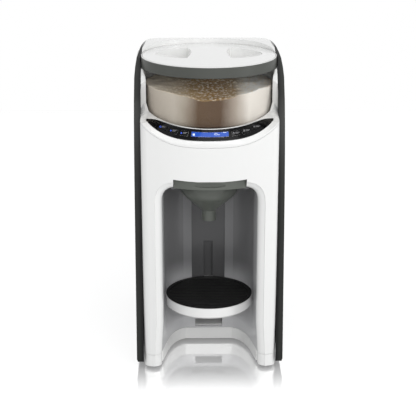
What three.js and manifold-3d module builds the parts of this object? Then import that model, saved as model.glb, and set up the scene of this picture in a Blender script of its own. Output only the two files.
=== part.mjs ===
// Baby formula maker: a countertop tower that doses powder and warm water into a bottle.
// Millimetres, +Z up, front towards -Y, origin on the counter under the middle of the body.
import * as THREE from 'three';
import { mergeVertices } from 'three/addons/utils/BufferGeometryUtils.js';
import Module from 'manifold-3d';

const wasm = await Module();
wasm.setup();

// Working clearances
const gap = 0.3;
const slideGap = 0.5;
const overrun = 6;
const farAway = 600;

// Overall body
const width = 185;
const depth = 333;
const topZ = 376;
const frontY = -depth / 2;
const rearY = depth / 2 - 2 * gap;

// White shell in plan: a bowed front, rounded corners, then a wider rear
const wall = 2.6;
const frontBow = 9.5;
const cornerReach = 8;
const flareStart = 41.5;
const flareEnd = 62.5;
const shellDepth = 228.5;
const backY = frontY + shellDepth;

// Charcoal side panels: front edge line, flare in plan, rounded shoulders that fall towards the back
const panelWall = 2.6;
const panelFlare = 4.5;
const panelFlareStart = 106;
const panelLean = 0.8;
const panelLip = 8.5;
const panelBottomZ = 7;
const panelToe = 6;
const shoulderWidth = 30.3;
const shoulderHeight = 76;
const shoulderRoundShare = 0.54;
const shoulderFallShare = 0.168;
const shoulderSteps = 9;
const panelEdgeDepthShares = [
  0.0315, 0.0495, 0.0706, 0.0976, 0.1336, 0.1637, 0.2087, 0.2988, 0.398, 0.5, 0.686,
];
const panelEdgeHeightShares = [0, 0.266, 0.532, 0.718, 0.838, 0.899, 0.9495, 0.9867, 0.9963, 1, 0.966];
const panelBackHalfWidth = width / 2;
const panelFrontHalfWidth = panelBackHalfWidth - panelFlare;
const lipX = panelFrontHalfWidth - panelLip;
const shellHalfWidth = lipX - gap;
const cheekHalfWidth = panelFrontHalfWidth - panelLean - panelWall - 2 * gap;

// Base and feet
const footRadius = 8;
const footHeight = 4;
const footSideInset = 11.7;
const footFrontInset = 24.5;
const footRearInset = 28;
const baseHeight = 15;
const plateThickness = 2;
const baseTopZ = footHeight + baseHeight;
const floorZ = baseTopZ + gap;

// Nook: a deep channel that narrows to the arch in the base
const liner = 2.2;
const linerInset = 18;
const jambRadius = 9;
const jambWall = 11.5;
const archCheek = 21.4;
const archNarrowing = 4.8;
const archSideDepth = 42.5;
const archCorner = 11.3;
const archCornerDepth = 82.5;
const archBackHalf = 29.5;
const archDepth = 89.5;
const nookMouthInset = 2.3;
const nookNarrowing = 0.5;
const nookSideDepth = 91.5;
const nookBackHalf = 25;
const nookDepth = 128.5;
const blendLow = 32;
const blendHigh = 60;
const nookTopZ = 228.7;
const nookCornerRadius = 17;

// Tray and its rail
const trayRoom = 1.5;
const trayTopZ = 75;
const trayHeight = 13.5;
const trayWall = 2;
const trayFloor = 3;
const trayDepth = 72;
const matThickness = 4;
const matGrooves = 10;
const matGroove = 1.2;
const railHalfWidth = 21;
const railThickness = 3;
const railWall = 2;
const railBottomZ = 55;
const railTopZ = 218;
const tongueHalf = 5;
const tongueHeight = 9;
const headHalf = 10;
const headThickness = 3;
const trayTravel = 50;
const socketHalf = 17;
const socketBottomZ = 21.5;
const socketHeight = 10;
const socketDepth = 14;
const socketWall = 1.6;

// Funnel on its sliding holder
const spoutRadius = 8.6;
const spoutWall = 1.6;
const spoutBottomZ = 170.5;
const spoutLength = 12.9;
const coneHeight = 23.6;
const collarRadius = 36;
const holderTopZ = 240.7;
const holderHeight = 12.7;
const holderHalfWidth = 41.6;
const holderFrontInset = 4.5;
const holderBackInset = 116;
const holderBow = 9;
const holderDip = 2.6;
const runnerWall = 2.8;
const runnerLip = 3.6;
const runnerLipHeight = 2.5;
const gripHalf = 18;
const gripHeight = 5;
const gripDepth = 2.5;
const ceilingThickness = 2.5;
const nozzleOffset = 31;
const nozzleAngle = 115;
const nozzleRadius = 4;

// Hopper well, its rim and the sloping band that carries the controls
const axisInset = 85.5;
const ringOverhang = 2;
const bowlWall = 2.2;
const bowlFloor = 2.5;
const bowlTopZ = 364;
const bowlGap = 0.7;
const rimWidth = 3;
const rimZ = 299.8;
const rimTiltShare = 0.22;
const bandSteps = 3;
const cheekAngle = 70;
const edgeStopAngle = 4;
const cheekFillet = 7;
const seamZ = 279;
const seamKneeRise = 26;
const bandLip = 2.2;
const collarBottomZ = 281;
const deckTopZ = 296;
const deckThickness = 3.5;
const ledgeThickness = 3;
const ledgeWidth = 9;

// Lid of the hopper
const ringBottomZ = 356.9;
const ringTopZ = 369.7;
const flangeWidth = 7;
const flangeThickness = 2.2;
const lidDome = 3.4;
const lidThickness = 3;
const pocketStart = 25.8;
const pocketRim = 16.5;
const pocketHalf = 34;
const pocketDepth = 13;
const pocketBulge = 5;
const sealHeight = 3.6;
const sealWidth = 1.8;

// Control panel on the band
const fasciaTipAngle = 52;
const spareAngle = 0.4;
const fasciaTopShare = 0.02;
const fasciaBottomShare = 0.69;
const fasciaTipShare = 0.53;
const fasciaTipWidthShare = 0.04;
const fasciaThickness = 1.4;
const keyAngles = [-37.5, -29, -20.5, 20.5, 29, 37.5];
const keyHalfAngle = 3;
const keyTopShare = 0.2;
const keyBottomShare = 0.46;
const keyThickness = 1;
const keyProud = 0.25;
const displayHalfAngle = 14.5;
const displayTopShare = 0.19;
const displayBottomShare = 0.45;
const displayProud = 0.1;
const boardHalfWidth = 45;
const boardHeight = 26;
const boardThickness = 1.6;

// Stirring drive
const shaftRadius = 3;
const bushWall = 5;
const gearModule = 1.5;
const gearTeeth = 24;
const pinionTeeth = 12;
const gearWidth = 6;
const motorRadius = 18;
const motorHeight = 18;
const motorAngle = 45;
const couplingRadius = 6.5;
const couplingHeight = 10;
const hubRadius = 12;
const hubHeight = 13;
const armGap = 5.3;
const armWidth = 8;
const armHeight = 5;
const outletOffset = 34;
const outletRadius = 8;
const chuteWall = 1.5;

// Rear tank
const tankGap = 5;
const tankWall = 2.4;
const tankTopZ = 330;
const tankCornerShare = 0.5258;
const tankLidHeight = 8;
const tankLidLip = 6;
const hingeRadius = 3.4;
const hingePinRadius = 1.5;
const hingeHalf = 30;
const hingeLidHalf = 16;
const gripCupHalf = 32;
const gripCupDepth = 5;
const gripCupLength = 22;
const valveShare = 0.5713;
const valveRadius = 8;
const valveFlange = 11;
const valveFlangeHeight = 2.2;
const valveStem = 3.6;
const plungerHead = 6;
const plungerHeadHeight = 2;
const plungerLift = 3;
const socketCupRadius = 14;
const socketCupWall = 2;

// Water side and electronics behind the nook
const heaterWidth = 50;
const heaterDepth = 40;
const heaterHeight = 90;
const heaterSideRoom = 15.4;
const heaterZ = 110;
const pumpWidth = 44;
const pumpDepth = 45;
const pumpHeight = 42;
const pumpSideRoom = 17.4;
const pumpInset = 12;
const hoseRadius = 3.5;
const mainBoardSideRoom = 9.4;
const mainBoardMiddleRoom = 4;
const mainBoardHeight = 120;
const mainBoardZ = 110;
const standoff = 4;
const standoffRadius = 3.5;
const glandRadius = 5;
const glandCollar = 7.5;
const glandX = 0;
const screwShank = 1.4;
const screwHead = 3;
const screwHeadHeight = 1.7;

// Heights and centres that follow from the sizes above
const axisY = frontY + axisInset;
const trayY = frontY + trayDepth;
const footX = shellHalfWidth - footSideInset;
const archFrontHalf = shellHalfWidth - archCheek;
const archSideHalf = archFrontHalf - archNarrowing;
const archCornerHalf = archFrontHalf - archCorner;
const nookFrontHalf = archFrontHalf - nookMouthInset;
const nookSideHalf = nookFrontHalf - nookNarrowing;
const trayRadius = nookSideHalf - trayRoom;
const ringRadius = lipX;
const bowlRadius = ringRadius - ringOverhang;
const wellRadius = bowlRadius + bowlGap;
const upperWellRadius = ringRadius + bowlGap;
const rimRadius = wellRadius + rimWidth;
const deckBottomZ = deckTopZ - deckThickness;
const ledgeTopZ = deckBottomZ - gap;
const ledgeBottomZ = ledgeTopZ - ledgeThickness;
const seamKneeZ = seamZ + seamKneeRise;
const coneBottomZ = spoutBottomZ + spoutLength;
const coneTopZ = coneBottomZ + coneHeight;
const holderBottomZ = holderTopZ - holderHeight;
const ceilingZ = holderTopZ + slideGap + gap;
const ceilingTopZ = ceilingZ + ceilingThickness;
const runnerX = holderHalfWidth + slideGap;
const linerY = frontY + linerInset;
const nookBackY = frontY + nookDepth;
const bowlBottomZ = deckTopZ + gap;
const bowlFloorZ = bowlBottomZ + bowlFloor;
const pocketEnd = ringRadius - pocketRim;
const armReach = bowlRadius - bowlWall - armGap;
const tankDepth = rearY - backY - tankGap;
const tankCornerReach = tankCornerShare * tankDepth;
const roomHalfWidth = cheekHalfWidth - wall;
const heaterX = heaterSideRoom + heaterWidth / 2 - roomHalfWidth;
const pumpX = roomHalfWidth - pumpSideRoom - pumpWidth / 2;
const mainBoardWidth = roomHalfWidth - mainBoardSideRoom - mainBoardMiddleRoom;
const mainBoardX = mainBoardMiddleRoom + mainBoardWidth / 2;

// Finishes
const finish = (color, roughness, metalness = 0, opacity = 1) =>
  new THREE.MeshStandardMaterial({ color, roughness, metalness, opacity, transparent: opacity < 1 });
const white = finish('#f2f2f0', 0.25);
const charcoal = finish('#3b3c3a', 0.45);
const nookGrey = finish('#8d8e90', 0.3);
const rubber = finish('#1c1c1c', 0.9);
const funnelGrey = finish('#5d605a', 0.35);
const rimGrey = finish('#5a5c57', 0.4);
const black = finish('#0c0c0e', 0.12);
const displayBlue = finish('#2f56c8', 0.2);
const clear = finish('#dfe3e4', 0.08, 0, 0.35);
const smoke = finish('#6b7074', 0.1, 0, 0.5);
const silicone = finish('#d8d8d4', 0.6);
const steel = finish('#b5b8ba', 0.3, 1);
const acetal = finish('#e4e2da', 0.4);
const circuit = finish('#1f5b38', 0.5);

const machine = new THREE.Group();

// Solid making
function solidOf(geometry) {
  const bare = geometry.index ? geometry.toNonIndexed() : geometry;
  bare.deleteAttribute('normal');
  bare.deleteAttribute('uv');
  const merged = mergeVertices(bare);
  return new wasm.Manifold(new wasm.Mesh({
    numProp: 3,
    vertProperties: new Float32Array(merged.attributes.position.array),
    triVerts: new Uint32Array(merged.index.array),
  }));
}

function place(name, body, material, position = [0, 0, 0]) {
  const { vertProperties, triVerts } = body.getMesh();
  const geometry = new THREE.BufferGeometry();
  geometry.setAttribute('position', new THREE.BufferAttribute(vertProperties, 3));
  geometry.setIndex(new THREE.BufferAttribute(triVerts, 1));
  geometry.computeVertexNormals();
  const mesh = new THREE.Mesh(geometry, material);
  mesh.name = name;
  mesh.position.set(...position);
  machine.add(mesh);
  return mesh;
}

// Prism along Z, X or Y of a shape drawn in XY, YZ or XZ
function prismZ(shape, from, to, curveSegments = 10) {
  const options = { depth: to - from, bevelEnabled: false, curveSegments };
  const geometry = new THREE.ExtrudeGeometry(shape, options);
  geometry.translate(0, 0, from);
  return solidOf(geometry);
}

function prismX(shape, from, to, curveSegments = 10) {
  const options = { depth: to - from, bevelEnabled: false, curveSegments };
  const geometry = new THREE.ExtrudeGeometry(shape, options);
  geometry.translate(0, 0, from);
  geometry.applyMatrix4(new THREE.Matrix4().set(0, 0, 1, 0, 1, 0, 0, 0, 0, 1, 0, 0, 0, 0, 0, 1));
  return solidOf(geometry);
}

function prismY(shape, from, to, curveSegments = 10) {
  const options = { depth: to - from, bevelEnabled: false, curveSegments };
  const geometry = new THREE.ExtrudeGeometry(shape, options);
  geometry.rotateX(Math.PI / 2);
  geometry.translate(0, to, 0);
  return solidOf(geometry);
}

function block(x0, x1, y0, y1, z0, z1) {
  const geometry = new THREE.BoxGeometry(x1 - x0, y1 - y0, z1 - z0);
  geometry.translate((x0 + x1) / 2, (y0 + y1) / 2, (z0 + z1) / 2);
  return solidOf(geometry);
}

// Turned piece about a vertical axis, from radius and height pairs that start and end on the axis or close
function turned(pairs, x = 0, y = 0, segments = 48) {
  const points = pairs.map(([r, z]) => new THREE.Vector2(r, z));
  const geometry = new THREE.LatheGeometry(points, segments);
  geometry.rotateX(Math.PI / 2);
  geometry.translate(x, y, 0);
  return solidOf(geometry);
}

const rod = (radius, z0, z1, x = 0, y = 0, segments = 32) =>
  turned([[0, z0], [radius, z0], [radius, z1], [0, z1]], x, y, segments);

const tube = (inner, outer, z0, z1, x = 0, y = 0, segments = 48) =>
  turned([[inner, z0], [outer, z0], [outer, z1], [inner, z1], [inner, z0]], x, y, segments);

function rodX(radius, x0, x1, y, z, segments = 20) {
  const geometry = new THREE.CylinderGeometry(radius, radius, x1 - x0, segments);
  geometry.rotateZ(Math.PI / 2);
  geometry.translate((x0 + x1) / 2, y, z);
  return solidOf(geometry);
}

// Closed skin over sections that have the same number of points; caps are triangulated in a plane
function loft(sections, flatten) {
  const count = sections[0].length;
  const points = sections.flat();
  const positions = points.flatMap((p) => [p.x, p.y, p.z]);
  const faces = [];
  for (let s = 0; s + 1 < sections.length; s += 1) {
    for (let i = 0; i < count; i += 1) {
      const a = s * count + i;
      const b = s * count + ((i + 1) % count);
      if (points[a].distanceTo(points[b + count]) < points[b].distanceTo(points[a + count])) {
        faces.push([a, b, b + count], [a, b + count, a + count]);
      } else {
        faces.push([a, b, a + count], [b, b + count, a + count]);
      }
    }
  }
  for (const [index, section] of [[0, sections[0]], [sections.length - 1, sections.at(-1)]]) {
    const triangles = THREE.ShapeUtils.triangulateShape(section.map(flatten), []);
    const flat = section.map(flatten);
    for (const triangle of triangles) {
      const face = triangle.map((i) => i + index * count);
      const sameTurn = THREE.ShapeUtils.isClockWise(flat) === (index > 0);
      faces.push(sameTurn ? [face[2], face[1], face[0]] : face);
    }
  }
  const geometry = new THREE.BufferGeometry();
  geometry.setAttribute('position', new THREE.Float32BufferAttribute(positions, 3));
  const windings = [faces.flat(), faces.map((face) => [face[0], face[2], face[1]]).flat()];
  const point = (i) => new THREE.Vector3().fromArray(positions, 3 * i);
  const volume = faces.reduce((sum, [a, b, c]) => sum + point(a).dot(point(b).cross(point(c))), 0);
  geometry.setIndex(windings[volume > 0 ? 0 : 1]);
  return solidOf(geometry);
}

// Outlines
function shellOutline(inset, back) {
  const side = shellHalfWidth - inset;
  const wide = cheekHalfWidth - inset;
  const bowEnd = side - cornerReach;
  const bowEndY = frontY + inset + frontBow;
  const cornerY = bowEndY + (2 * frontBow * cornerReach) / bowEnd;
  const shape = new THREE.Shape();
  shape.moveTo(-wide, back);
  shape.lineTo(-wide, frontY + flareEnd);
  shape.lineTo(-side, frontY + flareStart);
  shape.lineTo(-side, cornerY + cornerReach);
  shape.quadraticCurveTo(-side, cornerY, -bowEnd, bowEndY);
  shape.quadraticCurveTo(0, bowEndY - 2 * frontBow, bowEnd, bowEndY);
  shape.quadraticCurveTo(side, cornerY, side, cornerY + cornerReach);
  shape.lineTo(side, frontY + flareStart);
  shape.lineTo(wide, frontY + flareEnd);
  shape.lineTo(wide, back);
  return shape;
}

function tankOutline(inset) {
  const side = panelBackHalfWidth - inset;
  const front = backY + tankGap + inset;
  const rear = rearY - inset;
  const shape = new THREE.Shape();
  shape.moveTo(-side, front);
  shape.lineTo(side, front);
  shape.lineTo(side, rear - tankCornerReach);
  shape.quadraticCurveTo(side, rear, side - tankCornerReach, rear);
  shape.lineTo(-side + tankCornerReach, rear);
  shape.quadraticCurveTo(-side, rear, -side, rear - tankCornerReach);
  return shape;
}

// Nook channel at a share between the arch (0) and the upper nook (1), as a path round its three sides
function channelPath(share, outset, endY = linerY) {
  const between = (low, high) => THREE.MathUtils.lerp(low, high, share);
  const sideX = between(archSideHalf, nookSideHalf) + outset;
  const sideY = frontY + between(archSideDepth, nookSideDepth);
  const frontX = between(archFrontHalf, nookFrontHalf) + outset;
  const slope = (frontX - sideX) / (sideY - linerY);
  const corner = new THREE.QuadraticBezierCurve(
    new THREE.Vector2(sideX, sideY),
    new THREE.Vector2(
      between(archCornerHalf, nookSideHalf) + outset,
      frontY + between(archCornerDepth, nookDepth) + outset,
    ),
    new THREE.Vector2(between(archBackHalf, nookBackHalf), frontY + between(archDepth, nookDepth) + outset),
  );
  const right = [new THREE.Vector2(sideX + slope * (sideY - endY), endY), ...corner.getPoints(8)];
  const left = right.map((p) => new THREE.Vector2(-p.x, p.y)).reverse();
  return [...right, ...left];
}

// Outline of the nook's mouth in XZ, and the rounded jamb that runs in from the front face to the liner
function mouthOutline(outset) {
  const low = archFrontHalf + outset;
  const high = nookFrontHalf + outset;
  const top = nookTopZ + outset;
  const corner = nookCornerRadius + outset;
  const bend = new THREE.QuadraticBezierCurve(
    new THREE.Vector2(high, top - corner),
    new THREE.Vector2(high, top),
    new THREE.Vector2(high - corner, top),
  );
  const right = [new THREE.Vector2(low + gap, -overrun), new THREE.Vector2(low, floorZ),
    new THREE.Vector2(high, blendHigh), ...bend.getPoints(6)];
  return [...right, ...right.map((p) => new THREE.Vector2(-p.x, p.y)).reverse()];
}

function nookJamb(outset, back) {
  return prismY(new THREE.Shape(mouthOutline(outset)), frontY - overrun, back);
}

function nookFlare(outset) {
  const sections = [];
  const steps = 6;
  const ring = (spread, y) => mouthOutline(spread + outset).map((p) => new THREE.Vector3(p.x, y, p.y));
  sections.push(ring(0, linerY + overrun));
  for (let i = 0; i <= steps; i += 1) {
    const turn = (i / steps) * (Math.PI / 2) * 0.94;
    sections.push(ring(jambRadius * (1 - Math.cos(turn)), linerY - jambRadius * Math.sin(turn)));
  }
  sections.push(ring(jambRadius * (1 + 0.3), frontY - overrun));
  return loft(sections, (p) => new THREE.Vector2(p.x, p.z));
}

// Outline in XZ whose top edge dips towards the middle, shared by the funnel holder and its notch
function dippedTop(half, bottom, top) {
  const shape = new THREE.Shape();
  shape.moveTo(-half, bottom);
  shape.lineTo(half, bottom);
  shape.lineTo(half, top);
  shape.quadraticCurveTo(0, top - 2 * holderDip, -half, top);
  return shape;
}

const archShape = (outset) => new THREE.Shape(channelPath(0, outset, frontY - overrun));

// Side view of the charcoal panels' edge, from the front foot of the edge over the top to the back
function panelEdge(inset) {
  const shares = panelEdgeDepthShares.map((share, i) => new THREE.Vector2(
    frontY + share * depth,
    panelBottomZ + panelEdgeHeightShares[i] * (topZ - panelBottomZ),
  ));
  const curve = new THREE.SplineCurve(shares);
  const steps = 18;
  const edge = [];
  for (let i = 0; i <= steps; i += 1) {
    const p = curve.getPointAt(i / steps);
    const t = curve.getTangentAt(i / steps);
    edge.push(new THREE.Vector2(p.x + t.y * inset, p.y - t.x * inset));
  }
  return edge;
}

// Rounded shoulders that the panels and the white top share, drawn in by an inset
function shoulders(inset) {
  const spare = inset > 0 ? overrun : 0;
  const bottom = panelBottomZ - spare;
  const shoulderZ = topZ - shoulderHeight;
  const section = (half, y) => {
    const centreX = half - panelLean - shoulderWidth;
    const right = [
      new THREE.Vector3(half - inset - panelToe / 2, y, bottom - overrun),
      new THREE.Vector3(half - inset, y, bottom + (inset > 0 ? 0 : panelToe)),
    ];
    for (let i = 0; i <= shoulderSteps; i += 1) {
      const turn = (i / shoulderSteps) * (Math.PI / 2);
      const across = Math.max(0, Math.cos(turn)) ** shoulderRoundShare;
      const up = Math.sin(turn) ** shoulderRoundShare;
      right.push(new THREE.Vector3(
        centreX + (shoulderWidth - inset) * across,
        y,
        shoulderZ + (shoulderHeight - inset) * up - shoulderFallShare * y,
      ));
    }
    return [...right, ...right.map((p) => new THREE.Vector3(-p.x, p.y, p.z)).reverse()];
  };
  const flareY = frontY + panelFlareStart;
  return loft([
    section(panelFrontHalfWidth, frontY - overrun),
    section(panelFrontHalfWidth, flareY),
    section(panelBackHalfWidth, backY + spare),
  ], (p) => new THREE.Vector2(p.x, p.z));
}

// Envelope of the charcoal panels, drawn in by an inset and open past the back and bottom when it is inner
function envelope(inset) {
  const spare = inset > 0 ? overrun : 0;
  const edge = panelEdge(inset);
  const bottom = panelBottomZ - spare;
  const toe = inset > 0 ? [new THREE.Vector2(edge[0].x, bottom)] : [
    new THREE.Vector2(edge[0].x + panelToe, bottom),
    new THREE.Vector2(edge[0].x + 0.3 * panelToe, bottom + 0.3 * panelToe),
    new THREE.Vector2(edge[0].x, bottom + panelToe),
  ];
  const side = new THREE.Shape([
    ...toe,
    ...edge.slice(1),
    new THREE.Vector2(backY + spare, edge.at(-1).y - inset),
    new THREE.Vector2(backY + spare, bottom),
  ].filter((p, i, list) => i === 0 || p.distanceTo(list[i - 1]) > gap / 10));
  return prismX(side, -farAway, farAway).intersect(shoulders(inset));
}

// The band between the hopper's rim and the shell's edge, in slices that turn about the hopper's axis
const outlinePoints = shellOutline(0, backY).getPoints(24);

function shellReach(angle) {
  const dx = Math.sin(angle);
  const dy = -Math.cos(angle);
  let reach = 0;
  for (let i = 0; i + 1 < outlinePoints.length; i += 1) {
    const p = outlinePoints[i];
    const q = outlinePoints[i + 1];
    const ex = q.x - p.x;
    const ey = q.y - p.y;
    const cross = dx * ey - dy * ex;
    const share = (dx * (axisY - p.y) + dy * p.x) / cross;
    const distance = (p.x * ey - (p.y - axisY) * ex) / cross;
    if (share >= 0 && share <= 1 && distance > 0) reach = Math.max(reach, distance);
  }
  return reach;
}

// Height of the seam under the band, lowest at the middle of the front and level at the sides
function seamHeight(x) {
  return seamZ + seamKneeRise * Math.min(1, Math.abs(x) / shellHalfWidth) ** 3.2;
}

function bandLine(degrees) {
  const angle = THREE.MathUtils.degToRad(degrees);
  const reach = shellReach(angle);
  const rimY = axisY - rimRadius * Math.cos(angle);
  const fillet = THREE.MathUtils.smoothstep(Math.abs(degrees), 0.88 * cheekAngle, cheekAngle);
  const rimHeight = rimZ + rimTiltShare * (rimY - (axisY - rimRadius)) + cheekFillet * fillet ** 2;
  const edgeHeight = seamHeight(reach * Math.sin(angle)) + bandLip;
  const rim = new THREE.Vector2(rimRadius, rimHeight);
  const edge = new THREE.Vector2(reach, Math.min(edgeHeight, rimHeight - gap));
  const along = edge.clone().sub(rim);
  const normal = new THREE.Vector2(-along.y, along.x).normalize();
  return { angle, rim, edge, along, normal };
}

const onRadius = (angle, point) =>
  new THREE.Vector3(point.x * Math.sin(angle), axisY - point.x * Math.cos(angle), point.y);

function evenly(from, to, count) {
  return Array.from({ length: count + 1 }, (_, i) => from + ((to - from) * i) / count);
}

// Slab that lies on the band between two shares of its width, and between two offsets from its face
function bandSlab(angles, topShare, bottomShare, below, above) {
  const sections = angles.map((degrees) => {
    const { angle, rim, along, normal } = bandLine(degrees);
    const shares = evenly(topShare(degrees), bottomShare(degrees), bandSteps - 1);
    const line = (offset) => shares.map((share) =>
      onRadius(angle, rim.clone().addScaledVector(along, share).addScaledVector(normal, offset)));
    return [...line(below), ...line(above).reverse()];
  });
  const across = (p) => new THREE.Vector2(Math.hypot(p.x, p.y - axisY), p.z);
  return loft(sections, across);
}

function aboveBand() {
  const angles = evenly(-cheekAngle, cheekAngle, 48);
  const sections = angles.map((degrees) => {
    const { angle, rim, edge, along } = bandLine(degrees);
    const past = edge.clone().addScaledVector(along, overrun / along.x);
    return [
      new THREE.Vector2(wellRadius - rimWidth, rim.y),
      ...evenly(0, 1, bandSteps).map((share) => rim.clone().addScaledVector(along, share)),
      past,
      new THREE.Vector2(past.x, topZ + overrun),
      new THREE.Vector2(wellRadius - rimWidth, topZ + overrun),
    ].map((p) => onRadius(angle, p));
  });
  return loft(sections, (p) => new THREE.Vector2(Math.hypot(p.x, p.y - axisY), p.z));
}

function underBand(offset) {
  const reachedBy = cheekAngle - edgeStopAngle;
  const sections = evenly(-reachedBy, reachedBy, 24).map((degrees) => {
    const { angle, rim, edge, along, normal } = bandLine(degrees);
    const inner = rim.clone().addScaledVector(along, -0.2).addScaledVector(normal, -offset);
    const outer = edge.clone().addScaledVector(along, 0.2).addScaledVector(normal, -offset);
    return [
      new THREE.Vector2(inner.x, collarBottomZ - overrun),
      new THREE.Vector2(outer.x, collarBottomZ - overrun),
      outer,
      inner,
    ].map((p) => onRadius(angle, p));
  });
  return loft(sections, (p) => new THREE.Vector2(Math.hypot(p.x, p.y - axisY), p.z));
}

// Region under the seam between the front shell and the upper housing, as seen from the front
function underSeam(lift) {
  const seam = evenly(-1, 1, 20).map((share) => {
    const x = Math.sign(share) * Math.abs(share) ** 0.75 * shellHalfWidth;
    return new THREE.Vector2(x, seamHeight(x) + lift);
  });
  return prismY(new THREE.Shape([
    new THREE.Vector2(-farAway, -overrun),
    new THREE.Vector2(farAway, -overrun),
    new THREE.Vector2(farAway, seamKneeZ + lift),
    ...seam.reverse(),
    new THREE.Vector2(-farAway, seamKneeZ + lift),
  ]), -farAway, farAway)
    .add(block(-farAway, farAway, axisY, farAway, -overrun, seamKneeZ + lift));
}

const outsideLip = block(lipX - gap, farAway, -farAway, farAway, -overrun, farAway)
  .add(block(-farAway, -lipX + gap, -farAway, farAway, -overrun, farAway));
const underPanels = envelope(panelWall + gap);
const trimForPanels = (body) => body.subtract(outsideLip.subtract(underPanels));

// Charcoal side panels: thin covers with an inward lip along the front edge
const panelShell = envelope(0)
  .subtract(envelope(panelWall))
  .subtract(rod(upperWellRadius + gap, panelBottomZ, topZ + overrun, 0, axisY, 72));
const panelSides = [['side_panel_left', -farAway, -lipX], ['side_panel_right', lipX, farAway]];
for (const [name, from, to] of panelSides) {
  place(name, panelShell.intersect(block(from, to, -farAway, farAway, 0, farAway)), charcoal);
}

// Base frame: a hollow slab with the arch cut in it and a recess for the tank's socket
const valveY = rearY - valveShare * tankDepth;
const baseSlab = (inset, z0, z1, reach) => prismZ(shellOutline(inset, backY + reach), z0, z1)
  .add(prismZ(tankOutline(inset), z0, z1));
const archCut = (outset, z0, z1) => prismZ(archShape(outset), z0, z1);
const pumpY = nookBackY + liner + pumpInset + pumpDepth / 2;
const glandZ = footHeight + baseHeight / 2;
const baseFrame = baseSlab(0, footHeight, baseTopZ, tankGap + wall)
  .subtract(archCut(0, 0, topZ))
  .subtract(nookFlare(0))
  .subtract(
    baseSlab(wall, -overrun, baseTopZ - wall, tankGap + 2 * wall)
      .subtract(archCut(wall, -2 * overrun, topZ))
      .subtract(nookFlare(wall)),
  )
  .subtract(rod(socketCupRadius + gap, baseTopZ - wall - gap, baseTopZ + overrun, 0, valveY, 48))
  .subtract(rod(hoseRadius + gap, 0, topZ, pumpX, pumpY, 24))
  .subtract(
    solidOf(new THREE.CylinderGeometry(glandRadius + gap, glandRadius + gap, 8 * wall, 24)
      .translate(glandX, rearY, glandZ)),
  );
place('base_frame', baseFrame, white);

const plateZ = footHeight + gap;
const plateTopZ = plateZ + plateThickness;
place('bottom_plate', baseSlab(wall + gap, plateZ, plateTopZ, tankGap + 2 * wall)
  .subtract(archCut(wall + gap, 0, topZ))
  .subtract(nookFlare(wall + gap)), nookGrey);

// Rubber feet, each a short turned pad
const footPad = turned([[0, 0], [0.88 * footRadius, 0], [footRadius, 0.3 * footHeight],
  [footRadius, footHeight], [0, footHeight]], 0, 0, 24);
for (const [end, y] of [['front', frontY + footFrontInset], ['rear', rearY - footRearInset]]) {
  for (const [side, x] of [['left', -footX], ['right', footX]]) {
    place(`foot_${end}_${side}`, footPad, rubber, [x, y, 0]);
  }
}

// Front shell: a white wrap, open behind, with the nook's opening and the notch for the funnel holder
const shellFrontCut = nookFlare(0)
  .add(prismY(dippedTop(runnerX, nookTopZ - overrun, ceilingZ - gap), frontY - overrun, linerY + overrun));
const jamb = nookJamb(jambWall, linerY - gap).intersect(prismZ(shellOutline(0, backY), floorZ, topZ));
const frontShell = trimForPanels(
  prismZ(shellOutline(0, backY), floorZ, seamKneeZ)
    .subtract(prismZ(shellOutline(wall, backY + overrun), 0, topZ))
    .add(jamb)
    .intersect(underSeam(-gap))
    .subtract(shellFrontCut),
);
place('front_shell', frontShell, white);

// Nook liner: a channel that blends from the arch to the deeper nook, with a window for the tray's rail
const levelShares = [0, 0.12, 0.25, 0.4, 0.55, 0.7, 0.85, 1];
const linerLevels = [floorZ, ...levelShares.map((share) => THREE.MathUtils.lerp(blendLow, blendHigh, share)),
  ceilingZ - gap];
const linerSections = linerLevels.map((z) => {
  const share = THREE.MathUtils.smoothstep(z, blendLow, blendHigh);
  const inner = channelPath(share, 0);
  const outer = channelPath(share, liner).reverse();
  return [...inner, ...outer].map((p) => new THREE.Vector3(p.x, p.y, z));
});
const railWindow = block(-railHalfWidth, railHalfWidth, nookBackY - overrun, nookBackY + overrun,
  blendHigh, railTopZ - overrun);
const socketTopZ = socketBottomZ + socketHeight;
const lowerBackY = frontY + archDepth;
place('nook_liner', loft(linerSections, (p) => new THREE.Vector2(p.x, p.y))
  .subtract(railWindow)
  .subtract(block(-socketHalf, socketHalf, lowerBackY - overrun, lowerBackY + 2 * overrun,
    socketBottomZ, socketTopZ)), nookGrey);

// Pocket behind the slot under the tray, with a sloping floor
const pocketY = lowerBackY + liner + 2 * gap;
const pocketBack = pocketY + socketDepth;
const pocketShape = (inset) => new THREE.Shape([
  new THREE.Vector2(pocketY - (inset ? overrun : 0), socketBottomZ - socketWall + inset),
  new THREE.Vector2(pocketBack - inset, socketBottomZ + inset + (inset ? socketWall : 0)),
  new THREE.Vector2(pocketBack - inset, socketTopZ + socketWall - inset),
  new THREE.Vector2(pocketY - (inset ? overrun : 0), socketTopZ + socketWall - inset),
]);
place('lower_socket', prismX(pocketShape(0), -socketHalf - socketWall, socketHalf + socketWall)
  .subtract(prismX(pocketShape(socketWall), -socketHalf, socketHalf)), white);

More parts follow.
